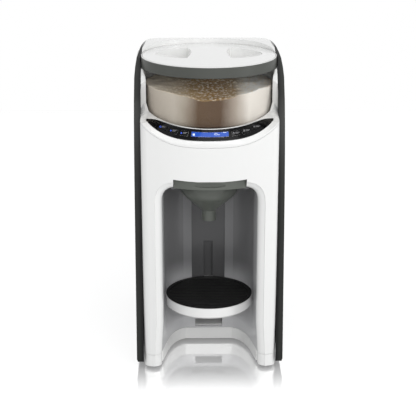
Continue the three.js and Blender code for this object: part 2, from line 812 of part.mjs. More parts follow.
// Slotted rail behind the window; the tray's tongue rides in the slot
const railY = nookBackY + liner + gap;
const trayBottomZ = trayTopZ - trayHeight;
const tongueZ = trayBottomZ + gap;
const slotBottomZ = tongueZ - gap;
const slotTopZ = tongueZ + tongueHeight + trayTravel + gap;
const railBackY = railY + railThickness;
const channelHalf = headHalf + slideGap;
const channelBackY = railBackY + gap + headThickness + slideGap;
place('tray_rail', block(-railHalfWidth - railThickness, railHalfWidth + railThickness, railY, railBackY,
  railBottomZ, railTopZ)
  .add(block(-channelHalf - railWall, channelHalf + railWall, railBackY - gap, channelBackY + railWall,
    slotBottomZ - railWall, slotTopZ + railWall))
  .subtract(block(-channelHalf, channelHalf, railBackY, channelBackY, slotBottomZ, slotTopZ))
  .subtract(block(-tongueHalf - slideGap, tongueHalf + slideGap, railY - overrun, railBackY + gap,
    slotBottomZ, slotTopZ)), nookGrey);

// Nook ceiling with the runners that carry the funnel holder
const holderFrontY = frontY + holderFrontInset;
const holderBackY = frontY + holderBackInset;
const chuteY = axisY - outletOffset;
const nozzleTurn = THREE.MathUtils.degToRad(nozzleAngle);
const nozzleX = nozzleOffset * Math.cos(nozzleTurn);
const nozzleY = trayY + nozzleOffset * Math.sin(nozzleTurn);
const runnerFrontY = linerY + gap;
const runnerBackY = holderBackY + slideGap;
const lipZ = holderBottomZ - gap;
const ceiling = prismZ(shellOutline(wall + gap, backY), ceilingZ, ceilingTopZ)
  .subtract(block(-farAway, farAway, nookBackY + liner + 2 * overrun, farAway, 0, farAway));
const runners = [-1, 1].map((side) => {
  const inner = side * runnerX;
  const outer = side * (runnerX + runnerWall);
  const lip = side * (runnerX - runnerLip);
  return block(Math.min(inner, outer), Math.max(inner, outer), runnerFrontY, runnerBackY + runnerWall,
    lipZ - runnerLipHeight, ceilingZ + gap)
    .add(block(Math.min(lip, outer), Math.max(lip, outer), runnerFrontY, runnerBackY + runnerWall,
      lipZ - runnerLipHeight, lipZ));
});
const runnerStop = block(-runnerX - runnerWall, runnerX + runnerWall, runnerBackY, runnerBackY + runnerWall,
  lipZ, ceilingZ + gap);
const shaftSeat = tube(
  shaftRadius + gap, 2 * shaftRadius, ceilingTopZ - gap, ceilingTopZ + 2 * shaftRadius, 0, axisY,
);
place('nook_ceiling', ceiling
  .add(runners[0]).add(runners[1]).add(runnerStop)
  .subtract(rod(outletRadius + chuteWall + gap, 0, topZ, 0, chuteY))
  .subtract(rod(nozzleRadius + gap, 0, topZ, nozzleX, nozzleY, 24))
  .add(shaftSeat), white);

// Funnel holder: a flat sliding frame with a bowed front and a finger recess
const holderShape = (inset) => {
  const shape = new THREE.Shape();
  shape.moveTo(-holderHalfWidth + inset, holderFrontY + holderBow);
  shape.quadraticCurveTo(0, holderFrontY - holderBow, holderHalfWidth - inset, holderFrontY + holderBow);
  shape.lineTo(holderHalfWidth - inset, holderBackY);
  shape.lineTo(-holderHalfWidth + inset, holderBackY);
  return shape;
};
const funnelMouth = collarRadius - runnerLip;
const recess = new THREE.Shape();
const recessZ = holderBottomZ + (holderHeight - holderDip) / 2;
recess.absellipse(0, recessZ, gripHalf, gripHeight / 2, 0, 2 * Math.PI, false);
place('funnel_holder', prismZ(holderShape(0), holderBottomZ, holderTopZ)
  .intersect(prismY(dippedTop(runnerX, holderBottomZ - overrun, holderTopZ), frontY - overrun, backY))
  .subtract(rod(funnelMouth, 0, topZ, 0, trayY, 40))
  .subtract(prismY(recess, frontY - overrun, holderFrontY + gripDepth, 8)), funnelGrey);

// Funnel: collar, cone and spout in one wall
const coneOut = spoutWall * 1.4;
const coneEdge = new THREE.Vector2(collarRadius, coneTopZ);
const coneBend = new THREE.QuadraticBezierCurve(
  new THREE.Vector2(spoutRadius, coneBottomZ).lerp(coneEdge, 0.72),
  coneEdge,
  new THREE.Vector2(collarRadius, (coneTopZ + holderBottomZ) / 2),
).getPoints(4);
place('funnel', turned([
  [spoutRadius - spoutWall, spoutBottomZ], [spoutRadius, spoutBottomZ], [spoutRadius, coneBottomZ],
  ...coneBend.map((p) => [p.x, p.y]), [collarRadius, holderBottomZ - gap],
  [collarRadius - spoutWall, holderBottomZ - gap],
  ...coneBend.map((p) => [p.x - spoutWall, p.y + 0.6 * spoutWall]).reverse(),
  [spoutRadius - spoutWall, coneBottomZ + coneOut], [spoutRadius - spoutWall, spoutBottomZ],
], 0, trayY, 36), funnelGrey);

// Drip tray: a round dish with the tongue and head that ride in the rail
const trayInner = trayRadius - trayWall;
const trayDish = turned([
  [0, trayBottomZ], [trayRadius - trayWall, trayBottomZ], [trayRadius, trayBottomZ + trayWall],
  [trayRadius, trayTopZ - gap], [trayInner, trayTopZ - gap], [trayInner, trayBottomZ + trayFloor],
  [0, trayBottomZ + trayFloor],
], 0, trayY, 48);
const tongueFrontY = trayY + trayRadius - 2 * trayWall;
const tongueBackY = railBackY + gap;
const tongueTopZ = tongueZ + tongueHeight;
const trayBody = trayDish
  .add(block(-tongueHalf, tongueHalf, tongueFrontY, tongueBackY + gap, tongueZ, tongueTopZ)
    .subtract(rod(trayInner, 0, topZ, 0, trayY, 48)))
  .add(block(-headHalf, headHalf, tongueBackY, tongueBackY + headThickness, tongueZ, tongueTopZ));
place('drip_tray', trayBody, white);

// Ridged mat on the tray, grooved from side to side
const matRadius = trayInner - gap;
const matZ = trayTopZ - matThickness;
let mat = rod(matRadius, matZ, trayTopZ, 0, trayY, 48)
  .add(tube(matRadius - trayWall, matRadius, trayBottomZ + trayFloor + gap, matZ + gap, 0, trayY, 48));
for (let i = 0; i < matGrooves; i += 1) {
  const share = (i + 1) / (matGrooves + 1);
  const y = trayY - matRadius + 2 * matRadius * share;
  const half = 0.86 * Math.sqrt(matRadius ** 2 - (y - trayY) ** 2);
  mat = mat.subtract(
    block(-half, half, y - matGroove, y + matGroove, trayTopZ - matGroove, trayTopZ + overrun),
  );
}
place('tray_mat', mat, rubber);

// Places of the four screws that hold the hopper's deck to the housing's ledge
const screwRing = wellRadius - ledgeWidth / 2;
const screwPlaces = [60, 120, 240, 300].map((degrees) => {
  const angle = THREE.MathUtils.degToRad(degrees);
  return [screwRing * Math.cos(angle), axisY + screwRing * Math.sin(angle)];
});

// Upper housing: collar round the hopper, sloping band, cheeks and the top behind the lid
const whiteOutside = prismX(new THREE.Shape([
  new THREE.Vector2(frontY - overrun, -overrun),
  new THREE.Vector2(frontY - overrun, seamKneeZ + 2 * overrun),
  ...panelEdge(0).filter((p) => p.y > seamKneeZ + 2 * overrun),
  new THREE.Vector2(backY + overrun, panelEdge(0).at(-1).y - gap),
  new THREE.Vector2(backY + overrun, -overrun),
]), -lipX + gap, lipX - gap).intersect(shoulders(0));
const wellOuter = rod(wellRadius + wall, 0, topZ, 0, axisY, 48);
const housingTop = backY - wall;
const innerRoom = prismZ(shellOutline(wall, housingTop), 0, topZ)
  .intersect(envelope(panelWall + gap + wall));
const cheekEndY = axisY - wellRadius * Math.cos(THREE.MathUtils.degToRad(cheekAngle));
const rearRoom = innerRoom
  .subtract(wellOuter)
  .subtract(block(-farAway, farAway, -farAway, cheekEndY + wall, -overrun, farAway));
const frontRoom = underBand(wall + fasciaThickness + gap)
  .intersect(prismZ(shellOutline(2 * wall + gap, axisY), 0, topZ))
  .subtract(wellOuter);
const wellCut = rod(wellRadius, ledgeTopZ, topZ + overrun, 0, axisY, 72)
  .add(rod(upperWellRadius, ringBottomZ - 2 * bowlGap, topZ + overrun, 0, axisY, 72));
const insideShell = prismZ(shellOutline(wall + gap, housingTop - 2 * gap), collarBottomZ, topZ);
let housing = prismZ(shellOutline(0, backY), seamZ - overrun, topZ)
  .intersect(whiteOutside.add(underPanels.subtract(whiteOutside)));
housing = housing
  .subtract(underSeam(0).subtract(insideShell))
  .subtract(aboveBand())
  .subtract(wellCut)
  .subtract(rod(wellRadius - ledgeWidth, 0, topZ, 0, axisY, 36))
  .subtract(rod(wellRadius, 0, ledgeBottomZ, 0, axisY, 48))
  .subtract(rearRoom)
  .subtract(frontRoom);
for (const [x, y] of screwPlaces) {
  housing = housing.subtract(rod(screwShank + gap, ledgeBottomZ - overrun, ledgeTopZ + overrun, x, y, 12));
}

// Control panel: a black crescent let into the band, with the display window and six keys
const tipShare = (degrees) => Math.min(1, Math.abs(degrees) / fasciaTipAngle);
const fasciaAngles = evenly(-1, 1, 40).map((share) =>
  fasciaTipAngle * Math.sign(share) * Math.abs(share) ** 0.8);
const fasciaTop = (degrees) =>
  THREE.MathUtils.lerp(fasciaTopShare, fasciaTipShare, tipShare(degrees) ** 20);
const fasciaBottom = (degrees) =>
  THREE.MathUtils.lerp(fasciaBottomShare, fasciaTipShare + fasciaTipWidthShare, tipShare(degrees) ** 6);
const shareMargin = 0.03;
const fasciaPocket = bandSlab(
  [-fasciaTipAngle - spareAngle, ...fasciaAngles, fasciaTipAngle + spareAngle],
  (degrees) => fasciaTop(degrees) - 3 * fasciaTopShare,
  (degrees) => fasciaBottom(Math.sign(degrees) * Math.min(Math.abs(degrees), fasciaTipAngle)) + shareMargin,
  -fasciaThickness - gap,
  gap,
);
place('upper_housing', housing.subtract(fasciaPocket), white);

const keyAcross = (centre, spare) =>
  evenly(centre - keyHalfAngle - spare, centre + keyHalfAngle + spare, 4);
const displayAcross = (spare) => evenly(-displayHalfAngle - spare, displayHalfAngle + spare, 14);
let fascia = bandSlab(fasciaAngles, fasciaTop, fasciaBottom, -fasciaThickness, 0)
  .subtract(bandSlab(displayAcross(spareAngle), () => displayTopShare - shareMargin / 2,
    () => displayBottomShare + shareMargin / 2, -wall, wall));
for (const centre of keyAngles) {
  fascia = fascia.subtract(bandSlab(keyAcross(centre, spareAngle), () => keyTopShare - shareMargin / 2,
    () => keyBottomShare + shareMargin / 2, -wall, wall));
}
place('control_panel', fascia, black);
place('display_lens', bandSlab(displayAcross(0), () => displayTopShare, () => displayBottomShare,
  -fasciaThickness, displayProud), displayBlue);
keyAngles.forEach((centre, i) => {
  place(`button_${i + 1}`, bandSlab(keyAcross(centre, 0), () => keyTopShare, () => keyBottomShare,
    keyProud - keyThickness, keyProud), black);
});

// Control board stands across the collar's hollow behind the panel
const boardFrontY = axisY - Math.sqrt((wellRadius - gap) ** 2 - boardHalfWidth ** 2);
const boardTopZ = ledgeBottomZ - gap;
place('control_board', block(-boardHalfWidth, boardHalfWidth, boardFrontY, boardFrontY + boardThickness,
  boardTopZ - boardHeight, boardTopZ), circuit);

// Hopper deck: floor of the well, screwed to the ledge, with the dosing hole and the bush's seat
let deck = rod(wellRadius - 2 * gap, deckBottomZ, deckTopZ, 0, axisY, 48)
  .subtract(rod(shaftRadius + gap + bushWall + gap, 0, topZ, 0, axisY, 32))
  .subtract(rod(outletRadius, 0, topZ, 0, chuteY, 32));
const deckScrew = turned([
  [0, -screwHeadHeight - deckThickness], [screwShank, -screwHeadHeight - deckThickness],
  [screwShank, -screwHeadHeight], [screwHead, -screwHeadHeight], [screwHead, 0], [0, 0],
], 0, 0, 20);
for (const [x, y] of screwPlaces) {
  deck = deck
    .subtract(rod(screwHead + gap, deckTopZ - screwHeadHeight - gap, topZ, x, y, 16))
    .subtract(rod(screwShank + gap, 0, topZ, x, y, 12));
}
place('hopper_deck', deck, acetal);

// Powder chute from the deck down through the nook's ceiling
const chute = tube(outletRadius, outletRadius + chuteWall, ceilingZ, deckBottomZ - gap, 0, chuteY, 32);
place('powder_chute', chute, acetal);

// Stirring drive: bush, shaft, coupling, wheel and pinion on the gearmotor
const bushTopZ = deckTopZ;
const shaftBottomZ = ceilingTopZ + gap;
const couplingZ = bushTopZ + gap;
const couplingTopZ = couplingZ + couplingHeight;
const bushBore = shaftRadius + gap;
const shaftTopZ = couplingTopZ - 2 * gap - shaftRadius;
place('shaft_bush', tube(bushBore, bushBore + bushWall, deckBottomZ, bushTopZ, 0, axisY, 32), steel);
place('drive_shaft', rod(shaftRadius, shaftBottomZ, shaftTopZ, 0, axisY, 24), steel);
place('drive_coupling', rod(couplingRadius, couplingZ, couplingTopZ, 0, axisY, 6)
  .subtract(rod(shaftRadius + gap, 0, couplingTopZ - shaftRadius, 0, axisY, 24)), acetal);

function toothedWheel(teeth, bore, z0, z1, x, y, phase) {
  const pitchRadius = (gearModule * teeth) / 2;
  const tip = pitchRadius + 0.75 * gearModule;
  const root = pitchRadius - 1.15 * gearModule;
  const shape = new THREE.Shape();
  const turn = (2 * Math.PI) / teeth;
  for (let i = 0; i < teeth; i += 1) {
    for (const [radius, share] of [[root, -0.3], [tip, -0.12], [tip, 0.12], [root, 0.3]]) {
      const angle = (i + share) * turn + phase;
      const method = i === 0 && share === -0.3 ? 'moveTo' : 'lineTo';
      shape[method](x + radius * Math.cos(angle), y + radius * Math.sin(angle));
    }
  }
  return prismZ(shape, z0, z1).subtract(rod(bore, z0 - overrun, z1 + overrun, x, y, 24));
}
const motorZ = ceilingTopZ + gap;
const motorTopZ = motorZ + motorHeight;
const gearZ = motorTopZ + gap;
const motorTurn = THREE.MathUtils.degToRad(motorAngle);
const gearDistance = (gearModule * (gearTeeth + pinionTeeth)) / 2;
const motorX = gearDistance * Math.cos(motorTurn);
const motorY = axisY + gearDistance * Math.sin(motorTurn);
const gearTopZ = gearZ + gearWidth;
place('drive_gear', toothedWheel(gearTeeth, bushBore, gearZ, gearTopZ, 0, axisY, motorTurn), acetal);
place('pinion', toothedWheel(pinionTeeth, shaftRadius + gap, gearZ, gearZ + gearWidth, motorX, motorY,
  motorTurn + Math.PI + Math.PI / pinionTeeth), acetal);
place('gearmotor', rod(motorRadius, motorZ, motorTopZ, motorX, motorY, 40)
  .add(rod(shaftRadius, motorZ, gearZ + gearWidth, motorX, motorY, 24)), steel);

// Hopper bowl: clear, with the dosing outlet and the hole that the coupling passes
place('hopper_bowl', turned([
  [0, bowlBottomZ], [bowlRadius - bowlWall, bowlBottomZ], [bowlRadius, bowlBottomZ + bowlWall],
  [bowlRadius, bowlTopZ], [bowlRadius - bowlWall, bowlTopZ],
  [bowlRadius - bowlWall, bowlFloorZ + bowlWall], [bowlRadius - 2 * bowlWall, bowlFloorZ], [0, bowlFloorZ],
], 0, axisY, 64)
  .subtract(rod(couplingRadius + slideGap, 0, bowlFloorZ + overrun / 2, 0, axisY, 32))
  .subtract(rod(outletRadius, 0, bowlFloorZ + overrun / 2, 0, chuteY, 32)), clear);

// Stirring wheel: a hub with three arms, driven by the coupling's hexagon
const hubZ = bowlFloorZ + gap;
let stirWheel = rod(hubRadius, hubZ, hubZ + hubHeight, 0, axisY, 32);
for (let i = 0; i < 3; i += 1) {
  const arm = new THREE.BoxGeometry(armReach, armWidth, armHeight);
  arm.translate(armReach / 2, 0, hubZ + armHeight / 2);
  arm.rotateZ((i * 2 * Math.PI) / 3 + Math.PI / 6);
  arm.translate(0, axisY, 0);
  stirWheel = stirWheel.add(solidOf(arm));
}
const couplingSocket = rod(couplingRadius + gap, 0, couplingTopZ + gap, 0, axisY, 6);
place('stir_wheel', stirWheel.subtract(couplingSocket), acetal);

// Lid of the hopper: grey rim with an inner flange, white domed disc with two finger recesses, seal
const flangeTopZ = bowlTopZ + gap + flangeThickness;
const discRadius = ringRadius - (ringRadius - bowlRadius) / 2 - gap;
place('lid_ring', turned([
  [bowlRadius + gap, ringBottomZ], [ringRadius, ringBottomZ], [ringRadius, ringTopZ],
  [discRadius + gap, ringTopZ], [discRadius + gap, flangeTopZ], [bowlRadius - flangeWidth, flangeTopZ],
  [bowlRadius - flangeWidth, bowlTopZ + gap], [bowlRadius + gap, bowlTopZ + gap],
  [bowlRadius + gap, ringBottomZ],
], 0, axisY, 64), rimGrey);

const discEdge = evenly(0, 1, 5).map((share) =>
  [discRadius * (1 - share), ringTopZ + lidDome * (1 - (1 - share) ** 2)]);
const discUnder = flangeTopZ + gap;
function pocketCup(side, outset) {
  const plan = new THREE.Shape();
  const start = side * (pocketStart - outset);
  const end = side * (pocketEnd + outset);
  const half = pocketHalf + outset;
  plan.moveTo(start, axisY - half);
  plan.bezierCurveTo(side * pocketStart * 1.5, axisY - half, end, axisY - half / 2, end, axisY);
  plan.bezierCurveTo(end, axisY + half / 2, side * pocketStart * 1.5, axisY + half, start, axisY + half);
  plan.quadraticCurveTo(start - side * 2 * pocketBulge, axisY, start, axisY - half);
  const floor = ringTopZ - pocketDepth - outset;
  const inner = start - side * (pocketBulge + overrun);
  const slope = new THREE.Shape([
    new THREE.Vector2(inner, topZ + overrun),
    new THREE.Vector2(inner, floor),
    new THREE.Vector2(start, floor),
    new THREE.Vector2(end, ringTopZ - outset),
    new THREE.Vector2(end, topZ + overrun),
  ]);
  return prismZ(plan, floor - overrun, topZ + overrun, 8)
    .intersect(prismY(slope, axisY - 2 * half, axisY + 2 * half));
}
const discTop = turned([[0, discUnder], [discRadius, discUnder], ...discEdge], 0, axisY, 60);
const discSkin = discTop.subtract(turned([
  [0, discUnder - overrun], [discRadius - 2 * lidThickness, discUnder - overrun],
  [discRadius - 2 * lidThickness, discUnder + gap], [0, ringTopZ + lidDome - lidThickness],
], 0, axisY, 36));
const cupRoomRadius = discRadius - flangeWidth - 2 * lidThickness;
const cupsOuter = pocketCup(-1, lidThickness / 2).add(pocketCup(1, lidThickness / 2))
  .intersect(discTop.add(rod(cupRoomRadius, 0, discUnder + gap, 0, axisY, 48)));
place('lid_disc', discSkin.add(cupsOuter).subtract(pocketCup(-1, 0)).subtract(pocketCup(1, 0)), white);

const sealRadius = bowlRadius - bowlWall - gap;
place('lid_seal', turned([
  [sealRadius - sealWidth, bowlTopZ - sealHeight], [sealRadius, bowlTopZ - sealHeight],
  [sealRadius, bowlTopZ], [sealRadius - sealWidth, bowlTopZ],
  [sealRadius - sealWidth, bowlTopZ - sealHeight],
], 0, axisY, 32), silicone);

// Screws through the deck, and their holes in the ledge
screwPlaces.forEach(([x, y], i) => {
  place(`deck_screw_${i + 1}`, deckScrew, steel, [x, y, deckTopZ - gap]);
});

// Back panel closes the shell between the body and the tank, with standoffs for the main board
const panelBackY = backY - gap;
const panelFrontY = panelBackY - wall;
const boardY = panelFrontY - standoff;
let backPanel = block(-cheekHalfWidth + wall + gap, cheekHalfWidth - wall - gap, panelFrontY, panelBackY,
  floorZ, seamKneeZ - 2 * gap);
for (const sx of [-0.4, 0.4]) {
  for (const sz of [0.1, 0.9]) {
    const peg = new THREE.CylinderGeometry(standoffRadius, standoffRadius, standoff + gap, 20);
    peg.translate(
      mainBoardX + sx * mainBoardWidth,
      panelFrontY - standoff / 2 + gap,
      mainBoardZ + sz * mainBoardHeight,
    );
    backPanel = backPanel.add(solidOf(peg));
  }
}
place('back_panel', backPanel, charcoal);
place('main_board', block(mainBoardX - mainBoardWidth / 2, mainBoardX + mainBoardWidth / 2,
  boardY - boardThickness - gap, boardY - gap, mainBoardZ, mainBoardZ + mainBoardHeight), circuit);

// Heater, pump and hoses
const heaterBackY = panelFrontY - gap;
const heaterY = heaterBackY - heaterDepth / 2;
place('heater', block(
  heaterX - heaterWidth / 2, heaterX + heaterWidth / 2,
  heaterBackY - heaterDepth, heaterBackY, heaterZ, heaterZ + heaterHeight,
), steel);
const underZ = plateTopZ + gap + hoseRadius;
place('pump', block(
  pumpX - pumpWidth / 2, pumpX + pumpWidth / 2,
  pumpY - pumpDepth / 2, pumpY + pumpDepth / 2, floorZ, floorZ + pumpHeight,
)
  .add(rod(hoseRadius, underZ - hoseRadius, floorZ + gap, pumpX, pumpY, 24)), charcoal);

const hoseSection = new THREE.Shape();
hoseSection.absarc(0, 0, hoseRadius, 0, 2 * Math.PI, false);
function hose(name, points, steps) {
  const curve = new THREE.CatmullRomCurve3(points.map((p) => new THREE.Vector3(...p)));
  const geometry = new THREE.ExtrudeGeometry(hoseSection, { steps, extrudePath: curve, curveSegments: 4 });
  place(name, solidOf(geometry), silicone);
}
const hoseRoom = 2 * hoseRadius;
const cupFrontY = valveY - socketCupRadius;
hose('hose_to_pump', [
  [0, cupFrontY - gap, underZ], [0, cupFrontY - 2 * hoseRoom, underZ],
  [pumpX / 2, (cupFrontY + pumpY) / 2, underZ], [pumpX, pumpY + 3 * hoseRoom, underZ],
  [pumpX, pumpY + hoseRadius + gap, underZ],
], 20);
const pumpTopZ = floorZ + pumpHeight;
hose('hose_to_heater', [
  [pumpX - hoseRoom, pumpY, pumpTopZ + gap], [pumpX - hoseRoom, pumpY, pumpTopZ + hoseRoom],
  [(pumpX + heaterX) / 2, (pumpY + heaterY) / 2, (pumpTopZ + heaterZ) / 2 + hoseRadius],
  [heaterX, heaterY, heaterZ - hoseRoom], [heaterX, heaterY, heaterZ - gap],
], 22);
const nozzleTopZ = ceilingTopZ + hoseRadius;
const hoseTopZ = nozzleTopZ + hoseRoom;
hose('hose_to_nozzle', [
  [heaterX, heaterY, heaterZ + heaterHeight + gap], [heaterX, heaterY, heaterZ + heaterHeight + hoseRoom],
  [heaterX, heaterY - hoseRoom, hoseTopZ - hoseRoom],
  [(heaterX + nozzleX) / 2, (heaterY + nozzleY) / 2, hoseTopZ + hoseRadius],
  [nozzleX, nozzleY + hoseRoom, hoseTopZ + hoseRadius],
  [nozzleX, nozzleY, hoseTopZ - hoseRadius],
  [nozzleX, nozzleY, nozzleTopZ + gap],
], 30);
place('water_nozzle', turned([
  [0, ceilingZ], [nozzleRadius, ceilingZ], [nozzleRadius, ceilingTopZ + gap],
  [nozzleRadius + 2 * gap, ceilingTopZ + gap], [nozzleRadius + 2 * gap, nozzleTopZ], [0, nozzleTopZ],
], nozzleX, nozzleY, 24), acetal);

// Tank socket in the base, the tank, its valve and its hinged lid
const cupZ = plateTopZ + gap;
place('tank_socket', rod(socketCupRadius, cupZ, baseTopZ, 0, valveY, 36)
  .subtract(rod(socketCupRadius - socketCupWall, cupZ + socketCupWall, topZ, 0, valveY, 36)), acetal);

const tankFloorZ = floorZ + tankWall;
const hingeY = backY + tankGap + hingeRadius + gap;
const hingeZ = tankTopZ + hingeRadius + gap;
const hingeSpan = (from, to, spare) => {
  const reach = hingeRadius + spare;
  return rodX(reach, from, to, hingeY, hingeZ)
    .add(block(from, to, hingeY - reach, hingeY + reach, hingeZ - reach, hingeZ));
};
const underHinge = (from, to, low, high) =>
  block(from, to, hingeY - hingeRadius, hingeY + hingeRadius, low, high);
const knuckles = hingeSpan(-hingeHalf, -hingeLidHalf - gap, 0)
  .add(hingeSpan(hingeLidHalf + gap, hingeHalf, 0))
  .add(underHinge(-hingeHalf, hingeHalf, tankTopZ - hingeRadius, tankTopZ)
    .subtract(block(-hingeLidHalf - gap, hingeLidHalf + gap, -farAway, farAway, 0, farAway)))
  .add(underHinge(-hingeHalf, -hingeLidHalf - gap, tankTopZ - gap, hingeZ))
  .add(underHinge(hingeLidHalf + gap, hingeHalf, tankTopZ - gap, hingeZ));
const pinHole = rodX(hingePinRadius + gap, -hingeHalf - overrun, hingeHalf + overrun, hingeY, hingeZ, 16);
const lidFrontY = hingeY + hingeRadius + gap;
place('water_tank', prismZ(tankOutline(0), floorZ, tankTopZ, 12)
  .subtract(prismZ(tankOutline(tankWall), tankFloorZ, topZ, 12))
  .add(block(-panelBackHalfWidth + tankWall / 2, panelBackHalfWidth - tankWall / 2, backY + tankGap,
    lidFrontY - gap, tankTopZ - tankWall, tankTopZ))
  .add(knuckles)
  .subtract(pinHole)
  .subtract(rod(valveRadius + gap, 0, tankFloorZ + overrun, 0, valveY, 32)), smoke);
place('tank_lid_pin', rodX(hingePinRadius, -hingeHalf, hingeHalf, hingeY, hingeZ, 16), steel);

const lidZ = tankTopZ + gap;
const lidTopZ = lidZ + tankLidHeight;
const gripCup = block(-gripCupHalf, gripCupHalf, rearY - 2 * gripCupLength, rearY - gripCupLength,
  lidTopZ - gripCupDepth, lidTopZ + overrun);
const tankLid = prismZ(tankOutline(0), lidZ, lidTopZ, 12)
  .add(prismZ(tankOutline(tankWall + 2 * gap), lidZ - tankLidLip, lidZ + gap, 12))
  .subtract(prismZ(tankOutline(tankWall + 2 * gap + wall), lidZ - 2 * tankLidLip, lidTopZ - wall, 12)
    .subtract(block(-gripCupHalf - wall, gripCupHalf + wall, rearY - 2 * gripCupLength - wall,
      rearY - gripCupLength + wall, lidTopZ - gripCupDepth - wall, topZ)))
  .subtract(block(-farAway, farAway, backY, lidFrontY, 0, lidZ + gap))
  .subtract(block(-farAway, farAway, backY, lidFrontY, 0, farAway)
    .subtract(block(-hingeLidHalf, hingeLidHalf, backY, farAway, hingeZ - hingeRadius, farAway)))
  .subtract(block(-hingeLidHalf, hingeLidHalf, backY, lidFrontY, 0, farAway)
    .subtract(rodX(hingeRadius, -hingeLidHalf, hingeLidHalf, hingeY, hingeZ)))
  .add(block(-hingeLidHalf, hingeLidHalf, hingeY, lidFrontY + gap, hingeZ, hingeZ + hingeRadius))
  .subtract(pinHole)
  .subtract(gripCup);
place('tank_lid', tankLid, white);

place('tank_valve', turned([
  [valveStem + gap, cupZ + 2 * socketCupWall + gap], [valveRadius, cupZ + 2 * socketCupWall + gap],
  [valveRadius, tankFloorZ + gap], [valveFlange, tankFloorZ + gap],
  [valveFlange, tankFloorZ + gap + valveFlangeHeight],
  [valveStem + gap, tankFloorZ + gap + valveFlangeHeight],
  [valveStem + gap, cupZ + 2 * socketCupWall + gap],
], 0, valveY, 32), silicone);
const plungerZ = tankFloorZ + gap + valveFlangeHeight + plungerLift;
place('valve_plunger', rod(valveStem, cupZ + socketCupWall + gap, plungerZ + gap, 0, valveY, 20)
  .add(rod(plungerHead, plungerZ, plungerZ + plungerHeadHeight, 0, valveY, 28)), acetal);

// Gland in the base's rear wall where the mains lead would leave
const gland = new THREE.CylinderGeometry(glandRadius, glandRadius, 3 * wall, 24)
  .translate(glandX, rearY + 1.5 * gap - 1.5 * wall, glandZ);
const glandFace = new THREE.CylinderGeometry(glandCollar, glandCollar, gap, 24)
  .translate(glandX, rearY + 1.5 * gap, glandZ);
place('power_gland', solidOf(gland).add(solidOf(glandFace)), rubber);

export default machine;
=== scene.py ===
import math

import bmesh
import bpy
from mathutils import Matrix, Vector, noise
from mathutils.bvhtree import BVHTree


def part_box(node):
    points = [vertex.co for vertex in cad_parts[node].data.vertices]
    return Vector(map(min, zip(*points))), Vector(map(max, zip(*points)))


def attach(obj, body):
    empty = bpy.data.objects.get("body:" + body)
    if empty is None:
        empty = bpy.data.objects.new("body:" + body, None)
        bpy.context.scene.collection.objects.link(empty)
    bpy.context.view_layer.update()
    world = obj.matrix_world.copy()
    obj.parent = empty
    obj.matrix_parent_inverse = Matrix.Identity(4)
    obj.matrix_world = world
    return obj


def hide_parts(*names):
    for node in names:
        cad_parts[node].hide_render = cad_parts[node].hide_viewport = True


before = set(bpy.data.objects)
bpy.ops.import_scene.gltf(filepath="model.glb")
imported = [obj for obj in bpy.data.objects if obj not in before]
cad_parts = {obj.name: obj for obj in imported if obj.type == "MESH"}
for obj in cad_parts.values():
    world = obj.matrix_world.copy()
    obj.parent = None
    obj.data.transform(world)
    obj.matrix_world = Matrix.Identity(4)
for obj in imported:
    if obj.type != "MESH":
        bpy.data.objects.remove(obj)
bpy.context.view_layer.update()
scene = bpy.context.scene
scene.view_settings.view_transform = "Standard"

# Camera, counter and light
# The camera stands 61 cm above the counter and looks down on the machine's front.
# A white counter that mirrors the feet and fades out in front of them, under soft lamps.
camera_height = 0.609
camera_dip = 18.1
camera_turn = -0.9
camera_data = bpy.data.cameras.new("camera")
camera_data.sensor_width = 36.0
camera_data.lens = 97.4
camera_data.shift_x = 0.0026
camera = bpy.data.objects.new("camera", camera_data)
camera.location = (-0.0229, -1.3925, camera_height)
camera.rotation_euler = (math.radians(90 - camera_dip), 0.0, math.radians(camera_turn))
scene.collection.objects.link(camera)
scene.camera = camera

counter_reach = 2.4
counter_back = 1.2
counter_mesh = bpy.data.meshes.new("counter")
counter_mesh.from_pydata(
    [
        (x, y, 0.0)
        for x, y in (
            (-counter_reach, -counter_reach), (counter_reach, -counter_reach),
            (counter_reach, counter_back), (-counter_reach, counter_back),
        )
    ],
    [],
    [(0, 1, 2, 3)],
)
counter = bpy.data.objects.new("counter", counter_mesh)
scene.collection.objects.link(counter)


def wired(tree, kind, inputs=None, **settings):
    """A node whose inputs take a value, a socket, or a node's first output."""
    node = tree.nodes.new(kind)
    for setting, value in settings.items():
        setattr(node, setting, value)
    for name, value in (inputs or {}).items():
        if isinstance(value, bpy.types.Node):
            value = value.outputs[0]
        if isinstance(value, bpy.types.NodeSocket):
            tree.links.new(value, node.inputs[name])
        else:
            node.inputs[name].default_value = value
    return node


def worked(tree, operation, *values):
    """The result of a sum on values or sockets."""
    return wired(tree, "ShaderNodeMath", dict(enumerate(values)), operation=operation).outputs[0]


def ramped(tree, value, start, stop, low=0.0, high=1.0, soft=False):
    """A value that goes from low to high while the one that it follows goes from start to stop."""
    ends = {"Value": value, "From Min": start, "From Max": stop, "To Min": low, "To Max": high}
    ease = "SMOOTHSTEP" if soft else "LINEAR"
    return wired(tree, "ShaderNodeMapRange", ends, interpolation_type=ease).outputs["Result"]


def measured(tree):
    """The X, Y and Z of each spot on a piece, in metres."""
    place = wired(tree, "ShaderNodeTexCoord").outputs["Object"]
    return wired(tree, "ShaderNodeSeparateXYZ", {0: place}).outputs


